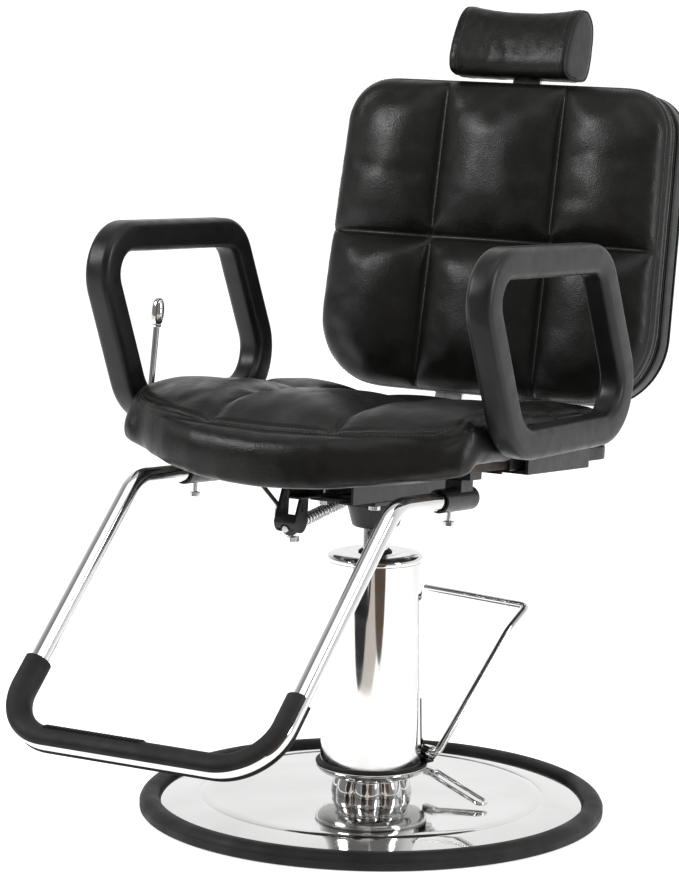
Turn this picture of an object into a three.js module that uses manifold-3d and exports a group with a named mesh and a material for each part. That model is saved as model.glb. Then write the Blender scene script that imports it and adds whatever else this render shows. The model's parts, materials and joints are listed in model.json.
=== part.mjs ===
// Hydraulic barber chair: a round weighted base, a pump column, a reclining upholstered seat.
// Millimetres, +Z up. The origin is on the floor at the column's axis and the sitter faces -Y,
// so +X is the sitter's left.

import * as THREE from 'three';
import { mergeVertices } from 'three/addons/utils/BufferGeometryUtils.js';
import Module from 'manifold-3d';

const wasm = await Module();
wasm.setup();

// ---- Driving dimensions -----------------------------------------------------------------------

const GAP = 0.3; // clearance kept between pieces that touch on the real chair

const BASE_RADIUS = 292;
const RING_INNER_RADIUS = 263.5;
const RING_HEIGHT = 21;
const WEIGHT_PLATE_THICKNESS = 8;
const COVER_TOP_Z = 22.3;

const COLLAR_BOTTOM_Z = 45;
const SHROUD_BOTTOM_Z = 63;
const SHROUD_TOP_Z = 318;
const SHROUD_BOTTOM_RADIUS = 65.5;
const SHROUD_TOP_RADIUS = 59;
const SHROUD_WALL = 2;
const PISTON_RADIUS = 15.5;
const HUB_BOTTOM_Z = 362;
const SEAT_FRAME_Z = 395; // height of the seat frame's own origin, on the hub's top
const SEAT_TILT = THREE.MathUtils.degToRad(4.5); // the seat's front is raised
const PUMP_TURN = THREE.MathUtils.degToRad(-11); // the pump's turn about the column

const CROSS_BAR_TOP_Z = 61.6; // in the seat frame, as all heights down to the next blank line
const BOARD_BOTTOM_Z = 62;
const BOARD_TOP_Z = 74;
const RAIL_X = 36;
const SOCKET_X = 178;
const SOCKET_Z = 26;
const SEAT_FRONT_HALF_WIDTH = 240;
const SEAT_REAR_HALF_WIDTH = 230;
const SEAT_REAR_Y = 204;
const SEAT_FRONT_Y = -304;
const SEAT_SEAM_Z = 126;

const FOOTREST_TUBE_RADIUS = 11;
const TREAD_RADIUS = 17.5;

const ARM_CENTRE_X = 261;
const ARM_THICKNESS = 35; // along X
const ARM_WIDTH = 37; // in the loop's own plane

const RECLINE_PIVOT = new THREE.Vector3(0, 245, 448);
const BACK_ARM_X = 62;
const BACK_ARM_WIDTH = 40;
const HINGE_PIN_RADIUS = 6;
const CRANK_X = -62;
const CRANK_LENGTH = 44;
const CRANK_REST_ANGLE = THREE.MathUtils.degToRad(20);

const BACK_ORIGIN = new THREE.Vector3(0, 240, 500);
const BACK_LEAN = THREE.MathUtils.degToRad(11.5);
const BACK_HALF_WIDTH = 234; // at the top, growing downwards
const BACK_FLARE = 11;
const BACK_HEIGHT = 412;
const BACK_DEPTH = 78;

const PEDAL_X = 84.5; // in the pump's own turned frame, as the two below
const PEDAL_PIVOT = new THREE.Vector2(36.8, 76);
const PEDAL_TOE = new THREE.Vector2(203, 242);

// ---- Finishes ---------------------------------------------------------------------------------

const finish = (color, roughness, metalness) => () =>
  new THREE.MeshStandardMaterial({ color, roughness, metalness });

const chrome = finish(0xe6e8ea, 0.08, 1);
const zinc = finish(0xbfc2c4, 0.35, 1);
const steel = finish(0x8b8e90, 0.45, 1);
const blackPaint = finish(0x17181a, 0.45, 0.2);
const rubber = finish(0x111112, 0.7, 0);
const armPlastic = finish(0x151516, 0.5, 0);
const leather = finish(0x121213, 0.4, 0);
const plywood = finish(0xb08a5c, 0.75, 0);

// ---- Geometry helpers -------------------------------------------------------------------------

const v2 = (x, y) => new THREE.Vector2(x, y);
const v3 = (x, y, z) => new THREE.Vector3(x, y, z);

function toManifold(geometry) {
  const plain = geometry.clone();
  plain.deleteAttribute('normal');
  plain.deleteAttribute('uv');
  const merged = mergeVertices(plain, 1e-4);
  return new wasm.Manifold(new wasm.Mesh({
    numProp: 3,
    vertProperties: Float32Array.from(merged.attributes.position.array),
    triVerts: Uint32Array.from(merged.index.array),
  }));
}

function fromManifold(solid) {
  const mesh = solid.getMesh();
  const geometry = new THREE.BufferGeometry();
  geometry.setAttribute('position', new THREE.BufferAttribute(mesh.vertProperties, 3));
  geometry.setIndex(new THREE.BufferAttribute(mesh.triVerts, 1));
  return geometry;
}

// Turns a closed surface inside out when its faces point inwards.
function facingOut(geometry) {
  const merged = geometry.clone();
  merged.deleteAttribute('normal');
  merged.deleteAttribute('uv');
  const closed = mergeVertices(merged, 1e-4);
  const index = closed.index.array;
  const corner = (i) => new THREE.Vector3().fromBufferAttribute(closed.attributes.position, index[i]);
  let volume = 0;
  for (let i = 0; i < index.length; i += 3) {
    volume += corner(i).dot(corner(i + 1).cross(corner(i + 2)));
  }
  if (volume < 0) {
    for (let i = 0; i < index.length; i += 3) {
      [index[i], index[i + 1]] = [index[i + 1], index[i]];
    }
  }
  return closed;
}

const join = (...geometries) =>
  fromManifold(geometries.map((g) => toManifold(facingOut(g))).reduce((sum, next) => sum.add(next)));

const cut = (body, ...tools) => fromManifold(tools
  .map((g) => toManifold(facingOut(g)))
  .reduce((rest, tool) => rest.subtract(tool), toManifold(facingOut(body))));

// A box given by its lowest and highest corners.
function box(low, high) {
  const size = high.clone().sub(low);
  const middle = low.clone().add(high).multiplyScalar(0.5);
  return new THREE.BoxGeometry(size.x, size.y, size.z).translate(middle.x, middle.y, middle.z);
}

// A solid cylinder, or a hexagonal prism with 6 sides, between two points.
function rod(from, to, radius, sides = 16) {
  const along = to.clone().sub(from);
  const turn = new THREE.Quaternion().setFromUnitVectors(v3(0, 1, 0), along.clone().normalize());
  const middle = from.clone().add(to).multiplyScalar(0.5);
  return new THREE.CylinderGeometry(radius, radius, along.length(), sides)
    .applyQuaternion(turn)
    .translate(middle.x, middle.y, middle.z);
}

// A solid of revolution about +Z from [radius, z] pairs. A profile that leaves the axis free
// closes on itself.
function turned(profile, segments = 28) {
  const points = profile.map(([radius, z]) => v2(radius, z));
  const onAxis = profile[0][0] === 0;
  if (!onAxis) {
    points.push(points[0].clone());
  }
  return facingOut(new THREE.LatheGeometry(points, segments).rotateX(Math.PI / 2));
}

// The points of a route whose inner corners are rounded to the radii given.
function roundedRoute(corners, radii, arcSteps = 5) {
  const points = [corners[0]];
  for (let i = 1; i < corners.length - 1; i += 1) {
    const before = corners[i - 1].clone().sub(corners[i]).normalize();
    const after = corners[i + 1].clone().sub(corners[i]).normalize();
    const halfAngle = before.angleTo(after) / 2;
    const reach = radii[i - 1] / Math.tan(halfAngle);
    const start = corners[i].clone().addScaledVector(before, reach);
    const end = corners[i].clone().addScaledVector(after, reach);
    const bisector = before.clone().add(after).normalize();
    const centre = corners[i].clone().addScaledVector(bisector, radii[i - 1] / Math.sin(halfAngle));
    const arm = start.clone().sub(centre);
    const axis = arm.clone().cross(end.clone().sub(centre)).normalize();
    const sweep = Math.PI - 2 * halfAngle;
    for (let step = 0; step <= arcSteps; step += 1) {
      points.push(arm.clone().applyAxisAngle(axis, (sweep * step) / arcSteps).add(centre));
    }
  }
  points.push(corners[corners.length - 1]);
  return points;
}

// A route through given points that a section is swept along, one step for each point. With a
// flat route, up is the normal of its plane and the section's second axis follows it.
class Route extends THREE.Curve {
  constructor(points, up = null) {
    super();
    this.points = points;
    this.up = up;
  }

  get steps() {
    return this.points.length - 1;
  }

  getPointAt(u, target = new THREE.Vector3()) {
    return target.copy(this.points[Math.round(u * this.steps)]);
  }

  getTangentAt(u, target = new THREE.Vector3()) {
    const i = Math.round(u * this.steps);
    const before = this.points[Math.max(i - 1, 0)];
    const after = this.points[Math.min(i + 1, this.steps)];
    return target.copy(after).sub(before).normalize();
  }

  computeFrenetFrames(segments, closed) {
    if (!this.up) {
      return super.computeFrenetFrames(segments, closed);
    }
    const tangents = this.points.map((_, i) => this.getTangentAt(i / this.steps));
    const binormals = tangents.map(() => this.up.clone());
    const normals = tangents.map((tangent, i) => binormals[i].clone().cross(tangent).normalize());
    return { tangents, normals, binormals };
  }
}

function swept(section, route) {
  return facingOut(new THREE.ExtrudeGeometry(section, {
    steps: route.steps, extrudePath: route, curveSegments: 12,
  }));
}

function roundSection(radius, sides) {
  const corners = Array.from({ length: sides }, (_, i) => {
    const angle = (i / sides) * 2 * Math.PI;
    return v2(radius * Math.cos(angle), radius * Math.sin(angle));
  });
  return new THREE.Shape(corners);
}

const bentRod = (corners, bendRadii, radius, sides = 10, up = null, arcSteps = 5) =>
  swept(roundSection(radius, sides), new Route(roundedRoute(corners, bendRadii, arcSteps), up));

const roundedOutline = (corners, radii, arcSteps = 5) => {
  const closed = [corners[corners.length - 1], ...corners, corners[0]].map((c) => v3(c.x, c.y, 0));
  return roundedRoute(closed, radii, arcSteps).slice(1, -1).map((p) => v2(p.x, p.y));
};

// Moves each side of a convex outline outwards by a distance.
function offsetCorners(corners, distance) {
  const clockwise = THREE.ShapeUtils.isClockWise(corners);
  const sideNormal = (a, b) => {
    const side = b.clone().sub(a).normalize();
    return clockwise ? v2(-side.y, side.x) : v2(side.y, -side.x);
  };
  return corners.map((corner, i) => {
    const before = sideNormal(corners[(i + corners.length - 1) % corners.length], corner);
    const after = sideNormal(corner, corners[(i + 1) % corners.length]);
    const bisector = before.clone().add(after);
    return corner.clone().addScaledVector(bisector, distance / (1 + before.dot(after)));
  });
}

// Extrudes an outline drawn in the Y-Z plane from low X to high X, with an optional rounded edge.
function sideProfile(shape, lowX, highX, edge = 0) {
  const geometry = new THREE.ExtrudeGeometry(shape, {
    depth: highX - lowX - 2 * edge,
    bevelEnabled: edge > 0,
    bevelThickness: edge,
    bevelSize: edge,
    bevelSegments: 2,
    curveSegments: 8,
  });
  const drawnYZ = new THREE.Matrix4().makeBasis(v3(0, 1, 0), v3(0, 0, 1), v3(1, 0, 0));
  return facingOut(geometry.translate(0, 0, lowX + edge).applyMatrix4(drawnYZ));
}

// ---- Assembly ---------------------------------------------------------------------------------

const chair = new THREE.Group();
const pump = new THREE.Group();
const seat = new THREE.Group();
const back = new THREE.Group();
pump.rotation.z = PUMP_TURN;
seat.position.z = SEAT_FRAME_Z;
seat.rotation.x = -SEAT_TILT;
back.position.copy(BACK_ORIGIN);
back.rotation.x = -BACK_LEAN;
chair.add(pump, seat, back);

function add(group, name, material, geometry) {
  const mesh = new THREE.Mesh(geometry, material());
  mesh.name = name;
  group.add(mesh);
  return mesh;
}

// A place in the chair's frame, seen from a turned group's frame.
function seenFrom(group, point) {
  group.updateMatrixWorld(true);
  return group.worldToLocal(point.clone());
}

// ---- Base -------------------------------------------------------------------------------------

const BASE_SEGMENTS = 40;

add(chair, 'base_weight_plate', steel, turned([
  [0, 0], [RING_INNER_RADIUS - GAP, 0], [RING_INNER_RADIUS - GAP, WEIGHT_PLATE_THICKNESS],
  [0, WEIGHT_PLATE_THICKNESS],
], BASE_SEGMENTS));

add(chair, 'base_rubber_ring', rubber, turned([
  [RING_INNER_RADIUS, 0], [BASE_RADIUS - 3, 0], [BASE_RADIUS, 3], [BASE_RADIUS, 12],
  [BASE_RADIUS - 5, 18.5], [BASE_RADIUS - 13, RING_HEIGHT], [268, 18.5], [268, 9.5],
  [RING_INNER_RADIUS, 9.5],
], BASE_SEGMENTS));

add(chair, 'base_cover', chrome, turned([
  [267.6, 9.8], [267.6, 11.5], [262, 14], [240, 18], [214, 21], [120, 22], [30, COVER_TOP_Z],
  [30, 20.8], [120, 20.6], [214, 19.5], [240, 16.5], [262, 12.4], [265, 9.8],
], BASE_SEGMENTS));

// ---- Column -----------------------------------------------------------------------------------

const NECK_LOBES = 8;
const NECK_RADIUS = 43;
const LOBE_DEPTH = 7;

function lobedOutline() {
  const steps = 64;
  const shape = new THREE.Shape(Array.from({ length: steps }, (_, i) => {
    const angle = (i / steps) * 2 * Math.PI;
    const radius = NECK_RADIUS + LOBE_DEPTH * Math.sqrt(Math.abs(Math.sin((NECK_LOBES / 2) * angle)));
    return v2(radius * Math.cos(angle), radius * Math.sin(angle));
  }));
  shape.holes.push(new THREE.Path().absarc(0, 0, 20, 0, 2 * Math.PI, true));
  return shape;
}

add(chair, 'column_neck', chrome, facingOut(new THREE.ExtrudeGeometry(lobedOutline(), {
  depth: COLLAR_BOTTOM_Z - COVER_TOP_Z - 2 * GAP, bevelEnabled: false, curveSegments: 8,
}).translate(0, 0, COVER_TOP_Z + GAP)));

const collarOutside = [
  [50, COLLAR_BOTTOM_Z], [60, 47.3], [67, 51.5], [70.3, 55.5], [71, 58.7],
];

add(chair, 'column_collar', chrome, turned([
  [0, COLLAR_BOTTOM_Z], ...collarOutside, [68, 58.7], [64, 53.5], [56, 50.5], [0, 50.5],
]));

add(chair, 'collar_gasket', rubber, turned([[60, 59], [70.5, 59], [70.5, 62.7], [60, 62.7]]));

const BARREL_RADIUS = 30.5;

add(chair, 'pump_barrel', steel, turned([
  [0, 50.8], [BARREL_RADIUS, 50.8], [BARREL_RADIUS, SHROUD_TOP_Z - 1],
  [PISTON_RADIUS + 0.5, SHROUD_TOP_Z - 1], [PISTON_RADIUS + 0.5, 58], [0, 58],
], 24));

function shroud() {
  const tube = turned([
    [SHROUD_BOTTOM_RADIUS, SHROUD_BOTTOM_Z], [SHROUD_TOP_RADIUS, SHROUD_TOP_Z],
    [SHROUD_TOP_RADIUS - SHROUD_WALL, SHROUD_TOP_Z], [SHROUD_BOTTOM_RADIUS - SHROUD_WALL, SHROUD_BOTTOM_Z],
  ]);
  const pedalSlot = box(v3(25, 22, SHROUD_BOTTOM_Z - 5), v3(80, 54, SHROUD_BOTTOM_Z + 85));
  return cut(tube, pedalSlot.rotateZ(PUMP_TURN));
}

add(chair, 'column_shroud', chrome, shroud());

const SEAL_RADIUS = 21;

add(chair, 'shroud_cap', chrome, turned([
  [SEAL_RADIUS + GAP, SHROUD_TOP_Z + GAP], [SHROUD_TOP_RADIUS, SHROUD_TOP_Z + GAP],
  [SHROUD_TOP_RADIUS + 0.5, 320], [SHROUD_TOP_RADIUS + 0.5, 323.5], [SHROUD_TOP_RADIUS - 3, 327],
  [SHROUD_TOP_RADIUS - 8, 328.5], [30, 329], [SEAL_RADIUS + GAP, 329],
]));

add(chair, 'rod_seal', rubber, turned([
  [PISTON_RADIUS + 0.4, SHROUD_TOP_Z + GAP], [SEAL_RADIUS, SHROUD_TOP_Z + GAP], [SEAL_RADIUS, 330],
  [18, 332.5], [PISTON_RADIUS + 0.4, 332.5],
], 24));

const PISTON_BOTTOM_Z = 80;
const PISTON_TOP_Z = 385;

add(chair, 'lift_piston', chrome,
  rod(v3(0, 0, PISTON_BOTTOM_Z), v3(0, 0, PISTON_TOP_Z), PISTON_RADIUS, 24));

// The hub is a cone whose top is cut to the seat's tilt.
function hub() {
  const cone = turned([
    [0, PISTON_TOP_Z + GAP], [PISTON_RADIUS + GAP, PISTON_TOP_Z + GAP],
    [PISTON_RADIUS + GAP, HUB_BOTTOM_Z], [28, HUB_BOTTOM_Z], [30, HUB_BOTTOM_Z + 2],
    [37, SEAT_FRAME_Z], [37.5, SEAT_FRAME_Z + 10], [0, SEAT_FRAME_Z + 10],
  ]);
  const aboveSeatFrame = box(v3(-60, -60, 0), v3(60, 60, 30))
    .rotateX(-SEAT_TILT)
    .translate(0, 0, SEAT_FRAME_Z);
  return cut(cone, aboveSeatFrame);
}

add(chair, 'seat_hub', blackPaint, hub());

// ---- Pump pedal, plunger and lock lever, in the pump's frame ------------------------------------

const PEDAL_ROD_RADIUS = 4.7;
const PLUNGER_X = 46;
const PEDAL_BEND_X = 75.5; // where the arm rises beside the yoke

function pedalRod() {
  const { x: pivotY, y: pivotZ } = PEDAL_PIVOT;
  return bentRod([
    v3(PLUNGER_X, -5, pivotZ),
    v3(PLUNGER_X, pivotY, pivotZ),
    v3(PEDAL_BEND_X, pivotY, pivotZ),
    v3(PEDAL_X, 164.5, 217),
    v3(PEDAL_X, PEDAL_TOE.x, PEDAL_TOE.y),
    v3(-PEDAL_X, PEDAL_TOE.x, PEDAL_TOE.y),
  ], [6, 7, 60, 9], PEDAL_ROD_RADIUS, 10);
}

add(pump, 'pump_pedal', chrome, pedalRod());

function pedalYoke() {
  const { x: y, y: z } = PEDAL_PIVOT;
  const boss = rod(v3(56, y, z), v3(69, y, z), 9);
  const foot = box(v3(53, y - 6, SHROUD_BOTTOM_Z + GAP), v3(66, y + 6, z - 4));
  const shaftHole = rod(v3(40, y, z), v3(90, y, z), PEDAL_ROD_RADIUS + GAP);
  return cut(join(boss, foot), shaftHole);
}

add(pump, 'pedal_yoke', chrome, pedalYoke());

function plunger() {
  const stem = rod(v3(PLUNGER_X - 2, 0, 64), v3(PLUNGER_X - 2, 0, 70), 5);
  const head = box(v3(PLUNGER_X - 9, -4, 66), v3(PLUNGER_X + 9, 4, 89));
  const slot = box(v3(PLUNGER_X - 5.4, -10, 69), v3(PLUNGER_X + 5.4, 10, 85));
  return cut(join(stem, head), slot);
}

add(pump, 'pump_plunger', steel, plunger());

const LOCK_START = v3(60.5, 49, 47.5);
const LOCK_END = v3(157, 30.5, 28.5);
const LOCK_WIRE_RADIUS = 2.6;

function lockLever() {
  const side = LOCK_END.clone().sub(LOCK_START).cross(v3(0, 0, 1)).normalize();
  const at = (point, offset) => point.clone().addScaledVector(side, offset);
  return bentRod([
    at(LOCK_START, 1), at(LOCK_START, 7.6), at(LOCK_END, 7.6),
    at(LOCK_END, -7.6), at(LOCK_START, -7.6), at(LOCK_START, -1),
  ], [3, 7, 7, 3], LOCK_WIRE_RADIUS, 8);
}

add(pump, 'lock_lever', chrome, lockLever());

function lockLug() {
  const side = LOCK_END.clone().sub(LOCK_START).cross(v3(0, 0, 1)).normalize();
  const angle = Math.atan2(side.x, -side.y);
  const block = box(v3(-16, -4, -5), v3(6, 4, 5))
    .rotateZ(angle)
    .translate(LOCK_START.x, LOCK_START.y, LOCK_START.z);
  const reach = side.clone().multiplyScalar(12);
  const hole = rod(LOCK_START.clone().sub(reach), LOCK_START.clone().add(reach), LOCK_WIRE_RADIUS + GAP);
  const collarEnvelope = turned([
    [0, 30], [NECK_RADIUS + LOBE_DEPTH + 1, 30],
    ...collarOutside.map(([radius, z]) => [radius + 0.5, z - 0.2]), [71.5, 80], [0, 80],
  ]);
  return cut(block, hole, collarEnvelope);
}

add(pump, 'lock_lug', zinc, lockLug());

// ---- Seat frame -------------------------------------------------------------------------------

const PLATE_BOLT_Y = 68;
const RAIL_BOTTOM_Z = 5.6;

function mountingPlate() {
  const plate = box(v3(-46, -85, GAP), v3(46, 90, RAIL_BOTTOM_Z - GAP));
  const holes = [[-1, -1], [1, -1], [-1, 1], [1, 1]].map(([i, j]) =>
    rod(v3(i * RAIL_X, j * PLATE_BOLT_Y, -5), v3(i * RAIL_X, j * PLATE_BOLT_Y, 12), 4.4));
  return cut(plate, ...holes);
}

add(seat, 'mounting_plate', blackPaint, mountingPlate());

function hexBolt(headFrom, headTo, tip, shankRadius, headRadius) {
  return join(rod(headFrom, headTo, headRadius, 6), rod(headFrom, tip, shankRadius, 12));
}

for (const [name, i, j] of [['front_right', -1, -1], ['front_left', 1, -1],
  ['rear_right', -1, 1], ['rear_left', 1, 1]]) {
  const at = (z) => v3(i * RAIL_X, j * PLATE_BOLT_Y, z);
  add(seat, `plate_bolt_${name}`, zinc, hexBolt(at(-5.5), at(0), at(14), 4, 7.5));
}

const RAIL_FRONT_Y = -140;
const RAIL_REAR_Y = 165;
const RAIL_TOP_Z = 50;

// A channel along Y that is open towards the middle of the chair.
function rail(side) {
  const [outer, inner, wall] = [RAIL_X + 10, RAIL_X - 10, 3];
  const section = new THREE.Shape([
    v2(inner, RAIL_BOTTOM_Z), v2(outer, RAIL_BOTTOM_Z), v2(outer, RAIL_TOP_Z), v2(inner, RAIL_TOP_Z),
    v2(inner, RAIL_TOP_Z - wall), v2(outer - wall, RAIL_TOP_Z - wall),
    v2(outer - wall, RAIL_BOTTOM_Z + wall), v2(inner, RAIL_BOTTOM_Z + wall),
  ]);
  const length = RAIL_REAR_Y - RAIL_FRONT_Y;
  const bar = new THREE.ExtrudeGeometry(section, { depth: length, bevelEnabled: false })
    .rotateX(Math.PI / 2)
    .translate(0, RAIL_REAR_Y, 0)
    .scale(side, 1, 1);
  const boltHoles = [-PLATE_BOLT_Y, PLATE_BOLT_Y].map((y) =>
    rod(v3(side * RAIL_X, y, 0), v3(side * RAIL_X, y, 20), 4.4));
  return cut(bar, ...boltHoles);
}

add(seat, 'frame_rail_right', blackPaint, rail(-1));
add(seat, 'frame_rail_left', blackPaint, rail(1));

const BAR_BOTTOM_Z = RAIL_TOP_Z + GAP;
const FRONT_BAR_Y = [-135, -105];
const REAR_BAR_Y = [134, RAIL_REAR_Y];

add(seat, 'front_cross_bar', blackPaint,
  box(v3(-200, FRONT_BAR_Y[0], BAR_BOTTOM_Z), v3(200, FRONT_BAR_Y[1], CROSS_BAR_TOP_Z)));
add(seat, 'rear_cross_bar', blackPaint,
  box(v3(-110, REAR_BAR_Y[0], BAR_BOTTOM_Z), v3(110, REAR_BAR_Y[1], CROSS_BAR_TOP_Z)));

const CLAMP_Y = -141;

function footrestSocket(side) {
  const x = side * SOCKET_X;
  const tube = rod(v3(x, -170, SOCKET_Z), v3(x, -92, SOCKET_Z), 14.5, 20);
  const lug = box(v3(x - 11, FRONT_BAR_Y[0], SOCKET_Z + 8), v3(x + 11, FRONT_BAR_Y[1], RAIL_TOP_Z));
  const bore = rod(v3(x, -180, SOCKET_Z), v3(x, -80, SOCKET_Z), FOOTREST_TUBE_RADIUS + 0.6, 20);
  const clampHole = rod(v3(x, CLAMP_Y, 0), v3(x, CLAMP_Y, SOCKET_Z), 3.4, 12);
  return cut(join(tube, lug), bore, clampHole);
}

function clampScrew(side) {
  const at = (z) => v3(side * SOCKET_X, CLAMP_Y, z);
  return hexBolt(at(-5), at(1), at(SOCKET_Z - FOOTREST_TUBE_RADIUS - GAP), 3, 7);
}

for (const [name, side] of [['right', -1], ['left', 1]]) {
  add(seat, `footrest_socket_${name}`, blackPaint, footrestSocket(side));
  add(seat, `clamp_screw_${name}`, zinc, clampScrew(side));
}

// ---- Seat board and cushion -------------------------------------------------------------------

const BOARD_FRONT_Y = -195;

function seatBoard() {
  const corners = [v2(-214, BOARD_FRONT_Y), v2(214, BOARD_FRONT_Y), v2(214, 194), v2(-214, 194)];
  const shape = new THREE.Shape(roundedOutline(corners, [20, 20, 30, 30], 4));
  return facingOut(new THREE.ExtrudeGeometry(shape, {
    depth: BOARD_TOP_Z - BOARD_BOTTOM_Z, bevelEnabled: false,
  }).translate(0, 0, BOARD_BOTTOM_Z));
}

add(seat, 'seat_board', plywood, seatBoard());

const STEP_Y = -96;
const LIP_BACK_Y = BOARD_FRONT_Y - 4;

function seatHalfWidth(y) {
  const [frontCorner, rearCorner] = [30, 45];
  if (y > SEAT_REAR_Y - rearCorner) {
    const beyond = y - (SEAT_REAR_Y - rearCorner);
    return SEAT_REAR_HALF_WIDTH - rearCorner + Math.sqrt(rearCorner ** 2 - Math.min(beyond, 44) ** 2);
  }
  if (y > STEP_Y) {
    return SEAT_REAR_HALF_WIDTH;
  }
  const before = Math.min(Math.max(-200 - y, 0), 29);
  return SEAT_FRONT_HALF_WIDTH - frontCorner + Math.sqrt(frontCorner ** 2 - before ** 2);
}

// The bow of the front edge and the dish of its middle, for a share of the half width.
const bow = (share) => SEAT_FRONT_Y + (-224 - SEAT_FRONT_Y) * Math.abs(share) ** 2.5;
const dish = (share) => 1 - share * share;

// A T-shaped cushion whose front lip hangs down in front of the seat board.
function seatCushion() {
  const columns = [-1, -0.93, -0.82, -0.64, -0.43, -0.21, 0, 0.21, 0.43, 0.64, 0.82, 0.93, 1];
  const lipShares = [0, 0.35, 0.7, 1];
  const mainRows = [
    LIP_BACK_Y + 1, -165, STEP_Y - 3, STEP_Y + 3, 10, 100, 159, 177, 191, 200, SEAT_REAR_Y,
  ];
  const rowCount = lipShares.length + mainRows.length;
  const rowY = (share, row) => (row < lipShares.length
    ? THREE.MathUtils.lerp(bow(share), LIP_BACK_Y, lipShares[row])
    : mainRows[row - lipShares.length]);
  const top = (share, y) => {
    const nearFront = THREE.MathUtils.clamp((-100 - y) / 180, 0, 1);
    return SEAT_SEAM_Z - dish(share) * (14 + 9 * nearFront);
  };
  const bottom = (share, row) => (row < lipShares.length
    ? 63 - 30 * dish(share)
    : BOARD_TOP_Z + GAP);
  const positions = [];
  for (const layer of [0, 1]) {
    for (let row = 0; row < rowCount; row += 1) {
      for (const share of columns) {
        const y = rowY(share, row);
        const z = layer ? top(share, y) : bottom(share, row);
        positions.push(share * seatHalfWidth(y), y, z);
      }
    }
  }
  const vertex = (layer, row, column) => (layer * rowCount + row) * columns.length + column;
  const index = [];
  const quad = (a, b, c, d) => index.push(a, b, c, a, c, d);
  const [lastRow, lastColumn] = [rowCount - 1, columns.length - 1];
  for (let row = 0; row < lastRow; row += 1) {
    for (let column = 0; column < lastColumn; column += 1) {
      quad(vertex(1, row, column), vertex(1, row, column + 1),
        vertex(1, row + 1, column + 1), vertex(1, row + 1, column));
      quad(vertex(0, row, column), vertex(0, row + 1, column),
        vertex(0, row + 1, column + 1), vertex(0, row, column + 1));
    }
  }
  for (let row = 0; row < lastRow; row += 1) {
    quad(vertex(0, row, 0), vertex(1, row, 0), vertex(1, row + 1, 0), vertex(0, row + 1, 0));
    quad(vertex(0, row, lastColumn), vertex(0, row + 1, lastColumn),
      vertex(1, row + 1, lastColumn), vertex(1, row, lastColumn));
  }
  for (let column = 0; column < lastColumn; column += 1) {
    quad(vertex(0, 0, column), vertex(0, 0, column + 1), vertex(1, 0, column + 1), vertex(1, 0, column));
    quad(vertex(0, lastRow, column), vertex(1, lastRow, column),
      vertex(1, lastRow, column + 1), vertex(0, lastRow, column + 1));
  }
  const geometry = new THREE.BufferGeometry();
  geometry.setAttribute('position', new THREE.Float32BufferAttribute(positions, 3));
  geometry.setIndex(index);
  return facingOut(geometry);
}

add(seat, 'seat_cushion', leather, seatCushion());

// ---- Armrests and their brackets --------------------------------------------------------------

// The loop's centre line in the Y-Z plane: upper front, upper rear, lower rear, lower front.
const armCorners = [v2(-246, 725), v2(69, 708), v2(170, 493), v2(-151, 505)];
const armRadii = [42, 46, 52, 62];
const ARM_EDGE = 15;
const ARM_BOLTS = [v3(0, -40, 501), v3(0, 80, 496.5)];
const ARM_BOLT_RADIUS = 4;

function armLoop() {
  const half = ARM_WIDTH / 2;
  const outer = roundedOutline(offsetCorners(armCorners, half - ARM_EDGE),
    armRadii.map((r) => r + half - ARM_EDGE));
  const inner = roundedOutline(offsetCorners(armCorners, ARM_EDGE - half),
    armRadii.map((r) => r - half + ARM_EDGE));
  const shape = new THREE.Shape(outer);
  shape.holes.push(new THREE.Path(inner.reverse()));
  return shape;
}

function armrest(side) {
  const innerX = ARM_CENTRE_X - ARM_THICKNESS / 2;
  const loop = sideProfile(armLoop(), innerX, innerX + ARM_THICKNESS, ARM_EDGE);
  const holes = ARM_BOLTS.map((p) =>
    rod(v3(innerX - 5, p.y, p.z), v3(innerX + 15, p.y, p.z), ARM_BOLT_RADIUS + GAP, 12));
  return cut(loop, ...holes).scale(side, 1, 1);
}

const BRACKET_X = ARM_CENTRE_X - ARM_THICKNESS / 2 - GAP;
const BRACKET_THICKNESS = 4;

// An angle under the seat board whose upright leg holds the armrest.
function armBracket(side) {
  const shelfTop = BOARD_BOTTOM_Z - GAP;
  const shelf = box(v3(150, -70, shelfTop - BRACKET_THICKNESS), v3(BRACKET_X, 96, shelfTop));
  const upright = box(v3(BRACKET_X - BRACKET_THICKNESS, -70, shelfTop - 2), v3(BRACKET_X, 96, 119));
  const holes = ARM_BOLTS.map((bolt) => {
    const p = seenFrom(seat, bolt);
    return rod(v3(200, p.y, p.z), v3(260, p.y, p.z), ARM_BOLT_RADIUS + 0.5, 12);
  });
  return cut(join(shelf, upright), ...holes);
}

function armBolt(side, bolt) {
  const headFrom = BRACKET_X - BRACKET_THICKNESS - GAP - 2.6;
  const at = (x) => v3(side * x, bolt.y, bolt.z);
  return hexBolt(at(headFrom), at(headFrom + 2.6), at(BRACKET_X + 13), ARM_BOLT_RADIUS, 8);
}

for (const [name, side] of [['right', -1], ['left', 1]]) {
  add(chair, `armrest_${name}`, armPlastic, facingOut(armrest(side)));
  add(seat, `arm_bracket_${name}`, zinc, facingOut(armBracket(side).scale(side, 1, 1)));
  add(chair, `arm_bolt_front_${name}`, zinc, armBolt(side, ARM_BOLTS[0]));
  add(chair, `arm_bolt_rear_${name}`, zinc, armBolt(side, ARM_BOLTS[1]));
}

// ---- Footrest ---------------------------------------------------------------------------------

const legTop = v3(SOCKET_X, -275, SOCKET_Z);
const legFoot = v3(176, -535, -252);
const mirrored = (p) => v3(-p.x, p.y, p.z);

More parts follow.
